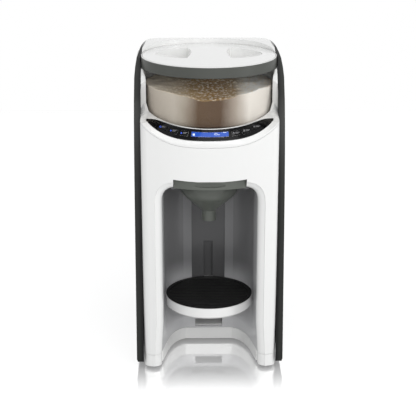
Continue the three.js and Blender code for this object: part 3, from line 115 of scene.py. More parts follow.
counter_finish = bpy.data.materials.new("counter_finish")
counter_finish.use_nodes = True
tree = counter_finish.node_tree
tree.nodes.clear()
counter_ray = wired(tree, "ShaderNodeLightPath").outputs
counter_face = wired(tree, "ShaderNodeBsdfDiffuse", {"Color": (0.86, 0.86, 0.86, 1)})
counter_glow = wired(tree, "ShaderNodeEmission", {"Strength": 0.5})
counter_mirror = wired(tree, "ShaderNodeBsdfGlossy", {"Color": (1, 1, 1, 1), "Roughness": 0.03})
counter_fade = ramped(tree, measured(tree)["Y"], -0.245, -0.15, high=0.62, soft=True)
counter_lift = wired(tree, "ShaderNodeAddShader", {0: counter_face, 1: counter_glow})
counter_polish = wired(
    tree, "ShaderNodeMixShader", {0: counter_fade, 1: counter_lift, 2: counter_mirror}
)
counter_mix = wired(
    tree, "ShaderNodeMixShader",
    {0: counter_ray["Is Camera Ray"], 1: counter_face, 2: counter_polish},
)
wired(tree, "ShaderNodeOutputMaterial", {0: counter_mix})
counter_mesh.materials.append(counter_finish)

room = bpy.data.worlds.new("room")
scene.world = room
room.use_nodes = True
tree = room.node_tree
tree.nodes.clear()
room_ray = wired(tree, "ShaderNodeLightPath").outputs
room_soft = wired(tree, "ShaderNodeBackground", {"Color": (0.98, 0.99, 1.0, 1), "Strength": 0.52})
room_white = wired(tree, "ShaderNodeBackground", {"Color": (1, 1, 1, 1), "Strength": 1.0})
room_seen = worked(tree, "MAXIMUM", room_ray["Is Camera Ray"], room_ray["Is Transmission Ray"])
room_shown = worked(tree, "MAXIMUM", room_seen, room_ray["Is Glossy Ray"])
room_mix = wired(tree, "ShaderNodeMixShader", {0: room_shown, 1: room_soft, 2: room_white})
wired(tree, "ShaderNodeOutputWorld", {0: room_mix})

for lamp_name, lamp_place, lamp_aim, lamp_width, lamp_height, lamp_power in (
    ("lamp_above", (0.0, -0.45, 1.55), (0.0, -0.05, 0.2), 1.5, 1.3, 5.0),
    ("lamp_front", (0.25, -1.9, 0.95), (0.0, 0.0, 0.2), 1.2, 0.9, 11.0),
    ("lamp_left", (-1.35, -0.75, 0.65), (0.0, -0.05, 0.2), 0.55, 1.2, 1.2),
    ("lamp_right", (1.35, -0.75, 0.65), (0.0, -0.05, 0.2), 0.55, 1.2, 5.5),
):
    lamp_data = bpy.data.lights.new(lamp_name, "AREA")
    lamp_data.shape = "RECTANGLE"
    lamp_data.size = lamp_width
    lamp_data.size_y = lamp_height
    lamp_data.energy = lamp_power
    lamp = bpy.data.objects.new(lamp_name, lamp_data)
    lamp.location = lamp_place
    lamp_way = Vector(lamp_aim) - Vector(lamp_place)
    lamp.rotation_euler = lamp_way.to_track_quat("-Z", "Y").to_euler()
    scene.collection.objects.link(lamp)


# Front shell
# One glossy white wrap of moulded plastic, bowed at the front, with rounded corners and a
# mouth whose edges roll inwards. It clips to the base below and the hopper's collar above.
def moulded_copy(node, body, material, crease=28.0):
    """A merged, smooth-shaded copy of a moulded part, with its flat faces kept flat."""
    weld_reach = 0.00002
    flat_within = math.radians(0.3)
    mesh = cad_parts[node].data.copy()
    shape = bmesh.new()
    shape.from_mesh(mesh)
    bmesh.ops.remove_doubles(shape, verts=shape.verts, dist=weld_reach)
    bmesh.ops.dissolve_limit(
        shape, angle_limit=flat_within, verts=shape.verts, edges=shape.edges
    )
    for face in shape.faces:
        face.smooth = True
        face.material_index = 0
    for edge in shape.edges:
        edge.smooth = len(edge.link_faces) == 2 and edge.calc_face_angle(0) < math.radians(crease)
    shape.to_mesh(mesh)
    shape.free()
    for name in ("custom_normal", "UVMap"):
        if name in mesh.attributes:
            mesh.attributes.remove(mesh.attributes[name])
    mesh.materials.clear()
    mesh.materials.append(material)
    piece = bpy.data.objects.new(node + "_moulding", mesh)
    scene.collection.objects.link(piece)
    weighting = piece.modifiers.new("flat faces stay flat", "WEIGHTED_NORMAL")
    weighting.keep_sharp = True
    weighting.weight = 100
    evaluated = piece.evaluated_get(bpy.context.evaluated_depsgraph_get())
    piece.data = bpy.data.meshes.new_from_object(evaluated)
    piece.modifiers.clear()
    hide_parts(node)
    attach(piece, body)


def finish(name, looks):
    """A new finish with the given looks, its node tree and its surface node."""
    material = bpy.data.materials.new(name)
    material.use_nodes = True
    face = material.node_tree.nodes["Principled BSDF"]
    for look, value in looks.items():
        face.inputs[look].default_value = value
    return material, material.node_tree, face


def even_finish(
    name, colour, roughness, grain=0.05, edge=0.0006, coat=0.0, shade=0.03, shine=0.5, metal=0.0
):
    """Moulded or drawn stock: faint mottling, a fine skin on the surface and softened edges."""
    material, tree, face = finish(
        name,
        {
            "Metallic": metal, "Specular IOR Level": shine,
            "Coat Weight": coat, "Coat Roughness": 0.06,
        },
    )
    place = wired(tree, "ShaderNodeTexCoord").outputs["Object"]
    mottle = wired(tree, "ShaderNodeTexNoise", {"Vector": place, "Scale": 14.0, "Detail": 3.0})
    tone = wired(
        tree, "ShaderNodeMix",
        {
            "Factor": mottle,
            "A": (*[c * (1 - shade) for c in colour], 1),
            "B": (*[min(1.0, c * (1 + shade)) for c in colour], 1),
        },
        data_type="RGBA",
    )
    sheen = ramped(tree, mottle, 0.0, 1.0, roughness * 0.85, roughness * 1.15)
    skin = wired(tree, "ShaderNodeTexNoise", {"Vector": place, "Scale": 900.0, "Detail": 2.0})
    soften = wired(tree, "ShaderNodeBevel", {"Radius": edge}, samples=6)
    relief = wired(
        tree, "ShaderNodeBump",
        {"Height": skin, "Normal": soften, "Strength": grain, "Distance": 0.0003},
    )
    tree.links.new(tone.outputs["Result"], face.inputs["Base Color"])
    tree.links.new(sheen, face.inputs["Roughness"])
    tree.links.new(relief.outputs["Normal"], face.inputs["Normal"])
    return material


white_gloss = even_finish(
    "white_gloss", (0.84, 0.84, 0.83), 0.22, grain=0.02, coat=0.35, shade=0.01
)
moulded_copy("front_shell", "body", white_gloss)


# Upper housing
# The white collar round the hopper with its sloping band, the cheeks beside the lid and
# the top behind it, moulded in one piece and dropped into the front shell.
# The flanks' charcoal wraps in over its two shoulders, wider towards the back.
def tinted(material, share, colour):
    """Lay a second colour over a finish, as far as the share goes."""
    tree = material.node_tree
    face = tree.nodes["Principled BSDF"]
    plain = face.inputs["Base Color"].links[0].from_socket
    tone = wired(
        tree, "ShaderNodeMix", {"Factor": share, "A": plain, "B": (*colour, 1)}, data_type="RGBA"
    )
    tree.links.new(tone.outputs["Result"], face.inputs["Base Color"])


charcoal = (0.020, 0.021, 0.019)
housing_white = white_gloss.copy()
housing_white.name = "housing_white"
tree = housing_white.node_tree
housing_at = measured(tree)
housing_back = worked(tree, "POWER", ramped(tree, housing_at["Y"], -0.056, 0.062), 0.6)
housing_edge = ramped(tree, housing_back, 0.0, 1.0, 0.0796, 0.0718)
housing_side = worked(tree, "ABSOLUTE", housing_at["X"])
housing_past = worked(tree, "SUBTRACT", housing_side, housing_edge)
tinted(housing_white, ramped(tree, housing_past, 0.0, 0.0002), charcoal)
moulded_copy("upper_housing", "body", housing_white, crease=24.0)

# Side panels
# Charcoal covers with a fine satin grain, clipped over both flanks and proud of the white.
# Their inner lips, beside the front shell, are darkened to black as painted shade, where the lip
# lies in shadow.
charcoal_satin = even_finish(
    "charcoal_satin", charcoal, 0.36, grain=0.16, edge=0.0012, shade=0.08, shine=0.25
)
panel_charcoal_lip_shade = charcoal_satin.copy()
panel_charcoal_lip_shade.name = "panel_charcoal_lip_shade"
tree = panel_charcoal_lip_shade.node_tree
panel_side = worked(tree, "ABSOLUTE", measured(tree)["X"])
# Painted shade: near black across the inner lip beside the front shell.
tinted(panel_charcoal_lip_shade, ramped(tree, panel_side, 0.0845, 0.0806, soft=True), (0.004, 0.004, 0.004))
for side in ("left", "right"):
    moulded_copy("side_panel_" + side, "body", panel_charcoal_lip_shade, crease=40.0)

# Base, its cover and the feet
# The arched white base carries everything. A grey plate, held by cross-headed screws, closes
# it below, and four rubber pads keep it from sliding.
moulded_copy("base_frame", "body", white_gloss)
plate_grey = even_finish("plate_grey", (0.27, 0.27, 0.28), 0.4, grain=0.1)
moulded_copy("bottom_plate", "body", plate_grey)


def grouped(name, *inputs):
    """A node group that takes geometry and named sizes, with what it is given and its inputs."""
    group = bpy.data.node_groups.new(name, "GeometryNodeTree")
    sockets = group.interface
    sockets.new_socket("Geometry", in_out="INPUT", socket_type="NodeSocketGeometry")
    sizes = [
        sockets.new_socket(size, in_out="INPUT", socket_type="NodeSocket" + kind)
        for size, kind in inputs
    ]
    sockets.new_socket("Geometry", in_out="OUTPUT", socket_type="NodeSocketGeometry")
    return group, group.nodes.new("NodeGroupInput").outputs, sizes


def laid_out(group, points, copied, material, **placing):
    """End a node group with one copy of a mesh on every point, in one material."""
    laid = wired(
        group, "GeometryNodeInstanceOnPoints", {"Points": points, "Instance": copied, **placing}
    )
    real = wired(group, "GeometryNodeRealizeInstances", {"Geometry": laid})
    dressed = wired(group, "GeometryNodeSetMaterial", {"Geometry": real, "Material": material})
    wired(group, "NodeGroupOutput", {0: dressed})


def grown(name, group, sizes, points=(), shift=(0.0, 0.0, 0.0)):
    """A piece made by a node group on the given points, then moved to its place."""
    seats = bpy.data.meshes.new(name)
    seats.from_pydata(points, [], [])
    piece = bpy.data.objects.new(name, seats)
    scene.collection.objects.link(piece)
    growth = piece.modifiers.new(group.name, "NODES")
    growth.node_group = group
    for size, value in sizes:
        growth[size.identifier] = value
    evaluated = piece.evaluated_get(bpy.context.evaluated_depsgraph_get())
    grown_mesh = bpy.data.meshes.new_from_object(evaluated)
    piece.modifiers.clear()
    piece.data = grown_mesh
    for corner in grown_mesh.vertices:
        corner.co += Vector(shift)
    return piece


screw_steel = even_finish(
    "screw_steel", (0.42, 0.42, 0.43), 0.3, grain=0.15, edge=0.0002, metal=1.0
)
screw_heads, given, (head_radius, head_height, head_turn) = grouped(
    "screw_heads", ("Head radius", "Float"), ("Head height", "Float"), ("Turn", "Vector")
)
head = wired(
    screw_heads, "GeometryNodeMeshCone",
    {
        "Vertices": 20,
        "Radius Top": worked(screw_heads, "MULTIPLY", given["Head radius"], 0.82),
        "Radius Bottom": given["Head radius"],
        "Depth": given["Head height"],
    },
)
cross_long = worked(screw_heads, "MULTIPLY", given["Head radius"], 1.1)
cross_thin = worked(screw_heads, "MULTIPLY", given["Head radius"], 0.22)
cross_sink = wired(screw_heads, "ShaderNodeCombineXYZ", {"Z": given["Head height"]})
cross_cut = wired(screw_heads, "GeometryNodeMeshBoolean", {"Mesh 1": head}, operation="DIFFERENCE")
for wide, deep in (("X", "Y"), ("Y", "X")):
    arm_size = wired(
        screw_heads, "ShaderNodeCombineXYZ",
        {wide: cross_long, deep: cross_thin, "Z": given["Head height"]},
    )
    arm = wired(screw_heads, "GeometryNodeMeshCube", {"Size": arm_size})
    arm_place = wired(
        screw_heads, "GeometryNodeTransform", {"Geometry": arm, "Translation": cross_sink}
    )
    screw_heads.links.new(arm_place.outputs["Geometry"], cross_cut.inputs["Mesh 2"])
laid_out(screw_heads, given["Geometry"], cross_cut, screw_steel, Rotation=given["Turn"])


def screwed(name, body, places, turn, radius=0.0032, height=0.0012):
    """Cross-headed screws at the given places, their heads facing the way they are turned."""
    sizes = ((head_radius, radius), (head_height, height), (head_turn, turn))
    piece = grown(name, screw_heads, sizes, places)
    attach(piece, body)


screw_column = 0.070
plate_low, plate_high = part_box("bottom_plate")
plate_screw_rows = (plate_low[1] + 0.042, plate_high[1] - 0.045)
plate_screw_seat = plate_low[2] + 0.0004
screwed(
    "bottom_screws", "body",
    [(side * screw_column, y, plate_screw_seat) for side in (-1, 1) for y in plate_screw_rows],
    (math.pi, 0.0, 0.0),
)
pad_rubber = even_finish("pad_rubber", (0.018, 0.018, 0.018), 0.75, grain=0.35, edge=0.0005)
for pad in ("foot_front_left", "foot_front_right", "foot_rear_left", "foot_rear_right"):
    moulded_copy(pad, "body", pad_rubber)

# Nook lining, its slotted pocket, the tray's rail and the nook's ceiling
# Smoke-grey gloss plastic, pushed in from the front of the shell. Its colour pales towards the
# arch as painted light from the counter below, and the walls pale towards the mouth as painted
# light. A painted highlight runs down each side of the rail.
liner_grey_painted_light = even_finish(
    "liner_grey_painted_light", (0.150, 0.150, 0.153), 0.24, grain=0.02, coat=0.15, shine=0.4
)
tree = liner_grey_painted_light.node_tree
liner_at = measured(tree)
# Painted light: the walls pale towards the nook's mouth.
tinted(liner_grey_painted_light, ramped(tree, liner_at["Y"], -0.026, -0.112, soft=True), (0.70, 0.70, 0.705))
# Painted highlight: a lighter strip down each side of the rail.
strip_middle = worked(tree, "SUBTRACT", worked(tree, "ABSOLUTE", liner_at["X"]), 0.0265)
rail_highlight_share = ramped(tree, worked(tree, "ABSOLUTE", strip_middle), 0.0058, 0.0048, soft=True)
tinted(liner_grey_painted_light, rail_highlight_share, (0.24, 0.24, 0.245))
# Painted light: the liner pales towards the arch, as if lit from the counter below.
tinted(liner_grey_painted_light, ramped(tree, liner_at["Z"], 0.100, 0.062, soft=True), (0.56, 0.56, 0.57))
moulded_copy("nook_liner", "body", liner_grey_painted_light)
# The slotted pocket: painted shadow darkens it above the slot's lit floor.
socket_white_painted_shadow = white_gloss.copy()
socket_white_painted_shadow.name = "socket_white_painted_shadow"
tree = socket_white_painted_shadow.node_tree
slot_shadow_share = ramped(tree, measured(tree)["Z"], 0.0262, 0.0270)
tinted(socket_white_painted_shadow, slot_shadow_share, (0.045, 0.045, 0.046))
moulded_copy("lower_socket", "body", socket_white_painted_shadow)
rail_grey = even_finish("rail_grey", (0.11, 0.11, 0.113), 0.24, grain=0.02, coat=0.15, shine=0.4)
moulded_copy("tray_rail", "body", rail_grey)
moulded_copy("nook_ceiling", "body", rail_grey)

# Tray and mat
# A white dish on a tongue that rides in the rail, with a black rubber mat pressed into it.
# Straight ribs run across the mat, each as long as the mat is wide at its place.
moulded_copy("drip_tray", "tray", white_gloss)


def lathed(name, profile, centre, steps, wobble=None):
    """A closed mesh turned from (radius, height) pairs about an upright axis, in metres."""
    on_axis = 0.00001
    sharp_from = math.radians(35)
    shape = bmesh.new()
    rings = []
    for order, (radius, height) in enumerate(profile):
        if radius < on_axis:
            rings.append([shape.verts.new((centre[0], centre[1], height))])
            continue
        ring = []
        for step in range(steps):
            turn = 2 * math.pi * step / steps
            x = centre[0] + radius * math.sin(turn)
            y = centre[1] - radius * math.cos(turn)
            lift = wobble(order, x, y) if wobble else 0.0
            ring.append(shape.verts.new((x, y, height + lift)))
        rings.append(ring)
    for upper, lower in zip(rings, rings[1:] + rings[:1]):
        if len(upper) == 1 and len(lower) == 1:
            continue
        for step in range(steps):
            after = (step + 1) % steps
            corners = [upper[step % len(upper)], upper[after % len(upper)]]
            corners += [lower[after % len(lower)], lower[step % len(lower)]]
            shape.faces.new(list(dict.fromkeys(corners)))
    bmesh.ops.recalc_face_normals(shape, faces=shape.faces)
    for face in shape.faces:
        face.smooth = True
    for edge in shape.edges:
        edge.smooth = edge.calc_face_angle(0) < sharp_from
    mesh = bpy.data.meshes.new(name)
    shape.to_mesh(mesh)
    shape.free()
    piece = bpy.data.objects.new(name, mesh)
    scene.collection.objects.link(piece)
    return piece


mat_black = even_finish(
    "mat_black", (0.006, 0.006, 0.006), 0.55, grain=0.3, edge=0.0003, shine=0.3
)
mat_centre = (0.0, -0.0945)
mat_top = 0.0741
mat_profile = [
    (0.0, mat_top), (0.0486, mat_top), (0.0489, 0.0749), (0.0493, 0.0753), (0.0527, 0.0753),
    (0.0531, 0.0752), (0.0532, 0.0751), (0.0512, 0.0751), (0.0512, 0.0652), (0.0510, 0.0649),
    (0.0494, 0.0649), (0.0492, 0.0652), (0.0492, 0.0710), (0.0, 0.0710),
]
mat_dish = lathed("mat_dish", mat_profile, mat_centre, 128)
mat_dish.data.materials.append(mat_black)
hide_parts("tray_mat")
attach(mat_dish, "tray")

mat_ribs, given, (rib_count, rib_spread, rib_reach, rib_size) = grouped(
    "mat_ribs",
    ("Rib count", "Int"), ("Spread", "Float"), ("Reach", "Float"), ("Rib size", "Vector"),
)
row_front = worked(mat_ribs, "MULTIPLY", given["Spread"], -1.0)
rib_row = wired(
    mat_ribs, "GeometryNodeMeshLine",
    {
        "Count": given["Rib count"],
        "Start Location": wired(mat_ribs, "ShaderNodeCombineXYZ", {"Y": row_front}),
        "Offset": wired(mat_ribs, "ShaderNodeCombineXYZ", {"Y": given["Spread"]}),
    },
    mode="END_POINTS",
)
rib = wired(mat_ribs, "GeometryNodeMeshCube", {"Vertices X": 2, "Size": given["Rib size"]})
rib_place = wired(mat_ribs, "GeometryNodeInputPosition")
rib_y = wired(mat_ribs, "ShaderNodeSeparateXYZ", {0: rib_place}).outputs["Y"]
reach_square = worked(mat_ribs, "MULTIPLY", given["Reach"], given["Reach"])
chord_square = worked(
    mat_ribs, "SUBTRACT", reach_square, worked(mat_ribs, "MULTIPLY", rib_y, rib_y)
)
rib_stretch = wired(
    mat_ribs, "ShaderNodeCombineXYZ",
    {"X": worked(mat_ribs, "SQRT", chord_square), "Y": 1.0, "Z": 1.0},
)
laid_out(mat_ribs, rib_row, rib, mat_black, Scale=rib_stretch)
rib_middle = 0.07445
mat_ridges = grown(
    "mat_ridges", mat_ribs,
    (
        (rib_count, 19), (rib_spread, 0.0459), (rib_reach, 0.0480),
        (rib_size, (2.0, 0.0017, 0.0009)),
    ),
    shift=(*mat_centre, rib_middle),
)
rounding = mat_ridges.modifiers.new("rounded ribs", "BEVEL")
rounding.width = 0.0003
rounding.segments = 2
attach(mat_ridges, "tray")

# Funnel and its holder
# Grey-green plastic with a satin face, moulded in two pieces that come out for washing.
# The cone sits in the holder, which slides out of the nook's ceiling on two runners.
funnel_green = even_finish(
    "funnel_green", (0.118, 0.127, 0.112), 0.3, grain=0.03, coat=0.1, shine=0.35
)
moulded_copy("funnel_holder", "funnel_unit", funnel_green)
moulded_copy("funnel", "funnel_unit", funnel_green)

# Control panel, display and keys
# A crescent of gloss black plastic let into the band, with a lit blue window and three keys
# on each side of it. The marks are printed on and faintly lit from behind.
gloss_black = even_finish(
    "gloss_black", (0.0035, 0.0035, 0.004), 0.14, grain=0.0, edge=0.0001, shine=0.1
)
moulded_copy("control_panel", "body", gloss_black, crease=40.0)
for key in range(1, 7):
    moulded_copy(f"button_{key}", f"key_{key}", gloss_black, crease=40.0)


def ink(name, colour, glow):
    """Printed ink with a slightly uneven tone, faintly lit from behind."""
    material, tree, face = finish(
        name,
        {"Roughness": 0.5, "Emission Color": (*colour, 1), "Emission Strength": glow},
    )
    place = wired(tree, "ShaderNodeTexCoord").outputs["Object"]
    patchy = wired(tree, "ShaderNodeTexNoise", {"Vector": place, "Scale": 900.0})
    tone = wired(
        tree, "ShaderNodeMix",
        {"Factor": patchy, "A": (*[c * 0.85 for c in colour], 1), "B": (*colour, 1)},
        data_type="RGBA",
    )
    tree.links.new(tone.outputs["Result"], face.inputs["Base Color"])
    return material


def bar(left, right, low, high):
    """One upright-sided stroke of a printed mark, in millimetres from the middle of its key."""
    return [(left, low), (right, low), (right, high), (left, high)]


def ring(x, y, radius, stroke, start=0, stop=360):
    """A printed ring, or part of one, as short strokes of about 30 degrees."""
    steps = max(4, round((stop - start) / 30))
    turns = [math.radians(start + (stop - start) * step / steps) for step in range(steps + 1)]
    inner = radius - stroke
    return [
        [
            (x + r * math.cos(turn), y + r * math.sin(turn))
            for r, turn in ((inner, before), (radius, before), (radius, after), (inner, after))
        ]
        for before, after in zip(turns, turns[1:])
    ]


def printed(name, node, body, layers):
    """Marks laid on the outer face of a piece: each stroke is a thin closed wafer."""
    millimetre = 0.001
    half_wafer = 0.00006
    clear_of_skin = 0.004
    cast_reach = 0.02
    least_up = 0.3
    least_up_and_forward = 0.9
    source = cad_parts[node].data
    corners = [vertex.co.copy() for vertex in source.vertices]
    skin = BVHTree.FromPolygons(corners, [tuple(face.vertices) for face in source.polygons])
    outward = Vector((0, 0, 0))
    middle = Vector((0, 0, 0))
    spread = 0.0
    for face in source.polygons:
        forward_and_up = face.normal.z - face.normal.y
        if face.normal.z > least_up and forward_and_up > least_up_and_forward:
            outward += face.normal * face.area
            middle += face.center * face.area
            spread += face.area
    outward.normalize()
    middle /= spread
    across = Vector((0, 0, 1)).cross(outward).normalized()
    up = outward.cross(across)
    shape = bmesh.new()
    for order, (material, strokes) in enumerate(layers):
        for stroke in strokes:
            top = []
            for x, y in stroke:
                start = middle + across * x * millimetre + up * y * millimetre
                above = start + outward * clear_of_skin
                spot = skin.ray_cast(above, -outward, cast_reach)[0]
                if spot is not None:
                    top.append(spot)
            if len(top) < len(stroke):
                continue
            upper = [shape.verts.new(spot + outward * half_wafer) for spot in top]
            lower = [shape.verts.new(spot - outward * half_wafer) for spot in top]
            shape.faces.new(upper).material_index = order
            shape.faces.new(lower[::-1]).material_index = order
            for step in range(len(top)):
                after = (step + 1) % len(top)
                side = (upper[after], upper[step], lower[step], lower[after])
                shape.faces.new(side).material_index = order
    bmesh.ops.recalc_face_normals(shape, faces=shape.faces)
    mesh = bpy.data.meshes.new(name)
    shape.to_mesh(mesh)
    shape.free()
    for material, strokes in layers:
        mesh.materials.append(material)
    piece = bpy.data.objects.new(name, mesh)
    scene.collection.objects.link(piece)
    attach(piece, body)


ink_blue = ink("ink_blue", (0.05, 0.12, 0.75), 0.5)
ink_grey = ink("ink_grey", (0.28, 0.28, 0.29), 0.15)
ink_white = ink("ink_white", (0.75, 0.85, 1.0), 0.3)
key_signs = (
    ring(-2.9, 0, 1.2, 0.35, 120, 420) + [bar(-3.08, -2.72, 0.2, 1.6)],
    [bar(-3.9, -1.9, -0.2, 0.2), bar(-3.1, -2.7, -1.0, 1.0)],
    [[(-3.6, -1.1), (-1.8, 0.0), (-3.6, 1.1)]],
    ring(-2.9, -0.3, 1.0, 0.35) + [[(-3.5, 0.5), (-2.3, 0.5), (-2.9, 1.6)]],
    ring(-2.9, 0, 1.2, 0.3) + [bar(-3.05, -2.75, 0.0, 0.8), bar(-2.9, -2.3, -0.15, 0.15)],
    [bar(-3.8, -1.9, low, low + 0.3) for low in (0.55, -0.15, -0.85)],
)
key_lines = [bar(-1.0, 3.9, 0.55, 0.95), bar(-1.0, 2.6, -0.55, -0.2)]
for key, sign in enumerate(key_signs, start=1):
    printed(
        f"key_{key}_legend", f"button_{key}", f"key_{key}",
        ((ink_blue if key < 4 else ink_grey, sign), (ink_grey, key_lines)),
    )

window_blue = finish(
    "window_blue",
    {
        "Base Color": (0.006, 0.038, 0.20, 1), "Roughness": 0.12, "Specular IOR Level": 0.2,
        "Emission Color": (0.006, 0.050, 0.33, 1), "Emission Strength": 1.0,
    },
)[0]
moulded_copy("display_lens", "body", window_blue, crease=40.0)
display_digit = [
    bar(5.2, 8.2, 1.35, 1.7), bar(5.2, 8.2, -0.18, 0.18), bar(5.2, 8.2, -1.7, -1.35),
    bar(5.0, 5.4, 0.2, 1.5), bar(8.0, 8.4, 0.2, 1.5),
    bar(5.0, 5.4, -1.5, -0.2), bar(8.0, 8.4, -1.5, -0.2),
]
display_signs = [
    bar(-19.6, -17.2, -2.1, 0.1), bar(14.4, 18.2, 1.0, 1.5), bar(9.4, 10.4, -1.7, -0.9)
]
printed(
    "display_marks", "display_lens", "body",
    ((ink_white, display_digit + display_signs),),
)

# Hopper
# A clear bowl of polished plastic that stands on the machine's deck and lifts off to be
# filled. It looks clear face on, and darkens towards its edge as thick plastic does.
clear_bowl, tree, bowl_face = finish(
    "clear_bowl", {"Base Color": (0.30, 0.31, 0.30, 1), "Roughness": 0.04}
)
bowl_rim = wired(tree, "ShaderNodeLayerWeight", {"Blend": 0.5}).outputs["Facing"]
tree.links.new(ramped(tree, bowl_rim, 0.72, 1.0, 0.03, 0.7, soft=True), bowl_face.inputs["Alpha"])
moulded_copy("hopper_bowl", "hopper", clear_bowl)

# Powder
# Formula heaped in the bowl: packed smooth against the wall, loose and crumbly on top, clear
# of the stirring wheel's arms below it.
powder_axis = (0.0, -0.081)
powder_rows = 40
powder_steps = 160
heap_radius = 0.0745
heap_height = 0.338
wall_radius = 0.0749
hub_radius = 0.0135


def powder_height(x, y):
    """Lift of the loose top: a dip in front of the middle, lumps and grains."""
    dip_depth, dip_half_width, dip_run = 0.0065, 0.030, 0.060
    lump_height, lumps_per_metre = 0.0020, 60.0
    grain_height, grains_per_metre = 0.0011, 330.0
    across = (x - powder_axis[0]) / dip_half_width
    front = max(0.0, min(1.0, (powder_axis[1] - y) / dip_run))
    dip = -dip_depth * math.exp(-across * across) * front
    lumps = lump_height * noise.noise(Vector((x, y, 0.0)) * lumps_per_metre)
    grains = grain_height * noise.noise(Vector((x, y, 3.0)) * grains_per_metre)
    return dip + lumps + grains


def powder_lift(order, x, y):
    """Only the loose top and the edge where it meets the wall follow the lumps."""
    share = 1.0 if order <= powder_rows else {1: 1.0, 2: 0.6}.get(order - powder_rows, 0.0)
    return share * powder_height(x, y) if share else 0.0


powder_profile = [(0.0, heap_height)]
powder_profile += [
    (heap_radius * row / powder_rows, heap_height) for row in range(1, powder_rows + 1)
]
powder_profile += [(wall_radius, height) for height in (0.3368, 0.3290, 0.3150, 0.3012)]
powder_profile += [(0.0740, 0.2998), (0.0725, 0.2991), (0.0713, 0.2991), (0.0710, 0.2996)]
powder_profile += [(0.0710, 0.3050), (0.0705, 0.3054)]
powder_profile += [(hub_radius, 0.3054), (hub_radius, 0.3133), (0.0, 0.3133)]
powder = lathed("powder", powder_profile, powder_axis, powder_steps, powder_lift)
looseness = powder.data.attributes.new("looseness", "FLOAT", "POINT")
for index, corner in enumerate(powder.data.vertices):
    looseness.data[index].value = 1.0 if index <= powder_rows * powder_steps else 0.0

powder_grain, tree, powder_face = finish(
    "powder_grain", {"Roughness": 0.9, "Specular IOR Level": 0.1}
)
powder_place = wired(tree, "ShaderNodeTexCoord").outputs["Object"]
powder_wave = wired(tree, "ShaderNodeTexNoise", {"Vector": powder_place, "Scale": 30.0})
powder_x = wired(tree, "ShaderNodeSeparateXYZ", {0: powder_place}).outputs["X"]
powder_shift = worked(tree, "MULTIPLY_ADD", powder_wave, 0.012, powder_x)
# Colour bands across the bowl: partly the formula's own cream and tan, and partly painted shade
# and painted reflection seen through the bowl's wall, dark brown in the middle and pale cream
# towards the sides. The packed powder against the wall and the loose top each get their own bands.
packed_tone_and_painted_light_stops = (
    (-0.075, (0.58, 0.51, 0.43)), (-0.040, (0.60, 0.54, 0.46)),
    (-0.028, (0.42, 0.36, 0.29)), (-0.014, (0.135, 0.085, 0.050)),
    (0.011, (0.115, 0.070, 0.042)), (0.030, (0.42, 0.36, 0.30)),
    (0.046, (0.84, 0.79, 0.72)), (0.075, (0.80, 0.75, 0.68)),
)
loose_tone_and_painted_light_stops = (
    (-0.075, (0.78, 0.70, 0.60)), (-0.045, (0.66, 0.57, 0.45)),
    (-0.022, (0.40, 0.27, 0.13)), (0.004, (0.34, 0.20, 0.075)),
    (0.028, (0.38, 0.26, 0.14)), (0.040, (0.84, 0.82, 0.77)),
    (0.058, (0.92, 0.91, 0.88)), (0.075, (0.36, 0.27, 0.20)),
)
powder_tone_and_painted_light_bands = []
band_half_width = 0.075
for band_stops in (packed_tone_and_painted_light_stops, loose_tone_and_painted_light_stops):
    band_share = ramped(tree, powder_shift, -0.069, 0.081)
    band_ramp = wired(tree, "ShaderNodeValToRGB", {0: band_share})
    stops = band_ramp.color_ramp.elements
    for order, (x, colour) in enumerate(band_stops):
        stop = stops[order] if order < 2 else stops.new(1.0)
        stop.position = (x + band_half_width) / (2 * band_half_width)
        stop.color = (*colour, 1)
    powder_tone_and_painted_light_bands.append(band_ramp)
powder_loose = wired(tree, "ShaderNodeAttribute", attribute_name="looseness").outputs["Fac"]
powder_tone = wired(
    tree, "ShaderNodeMix",
    {"Factor": powder_loose, "A": powder_tone_and_painted_light_bands[0], "B": powder_tone_and_painted_light_bands[1]},
    data_type="RGBA",
)
powder_crumbs = wired(
    tree, "ShaderNodeTexNoise", {"Vector": powder_place, "Scale": 300.0, "Detail": 2.0}
)
powder_specks = ramped(tree, powder_crumbs, 0.52, 0.62, high=0.8)
powder_relief = wired(
    tree, "ShaderNodeBump", {"Height": powder_crumbs, "Strength": 0.5, "Distance": 0.0008}
)
tree.links.new(powder_tone.outputs["Result"], powder_face.inputs["Base Color"])
tree.links.new(powder_relief.outputs["Normal"], powder_face.inputs["Normal"])
speckled = worked(tree, "MULTIPLY", powder_specks, powder_loose)
tinted(powder_grain, speckled, (0.82, 0.74, 0.60))
powder.data.materials.append(powder_grain)
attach(powder, "hopper")

# Stirring wheel, deck and chute
# Cream acetal: the wheel turns on the bowl's floor, the deck is the floor of the well, and
# the chute leads each dose down to the funnel.
acetal_white = even_finish("acetal_white", (0.72, 0.71, 0.66), 0.35, grain=0.05)
moulded_copy("stir_wheel", "stirrer", acetal_white)
moulded_copy("hopper_deck", "body", acetal_white)
moulded_copy("powder_chute", "body", acetal_white)

# Lid
# A charcoal rim, white on top, round a domed white disc with two scooped finger recesses.
# A pale silicone ring under the disc closes it against the bowl.
rim_satin = even_finish(
    "rim_satin", (0.072, 0.076, 0.068), 0.4, grain=0.08, edge=0.0009, shine=0.35
)
tree = rim_satin.node_tree
tinted(rim_satin, ramped(tree, measured(tree)["Z"], 0.3690, 0.3692), (0.80, 0.80, 0.79))
moulded_copy("lid_ring", "hopper_lid", rim_satin)
moulded_copy("lid_disc", "hopper_lid", white_gloss, crease=22.0)
silicone_pale = even_finish("silicone_pale", (0.62, 0.62, 0.58), 0.6, grain=0.1)
moulded_copy("lid_seal", "hopper_lid", silicone_pale)

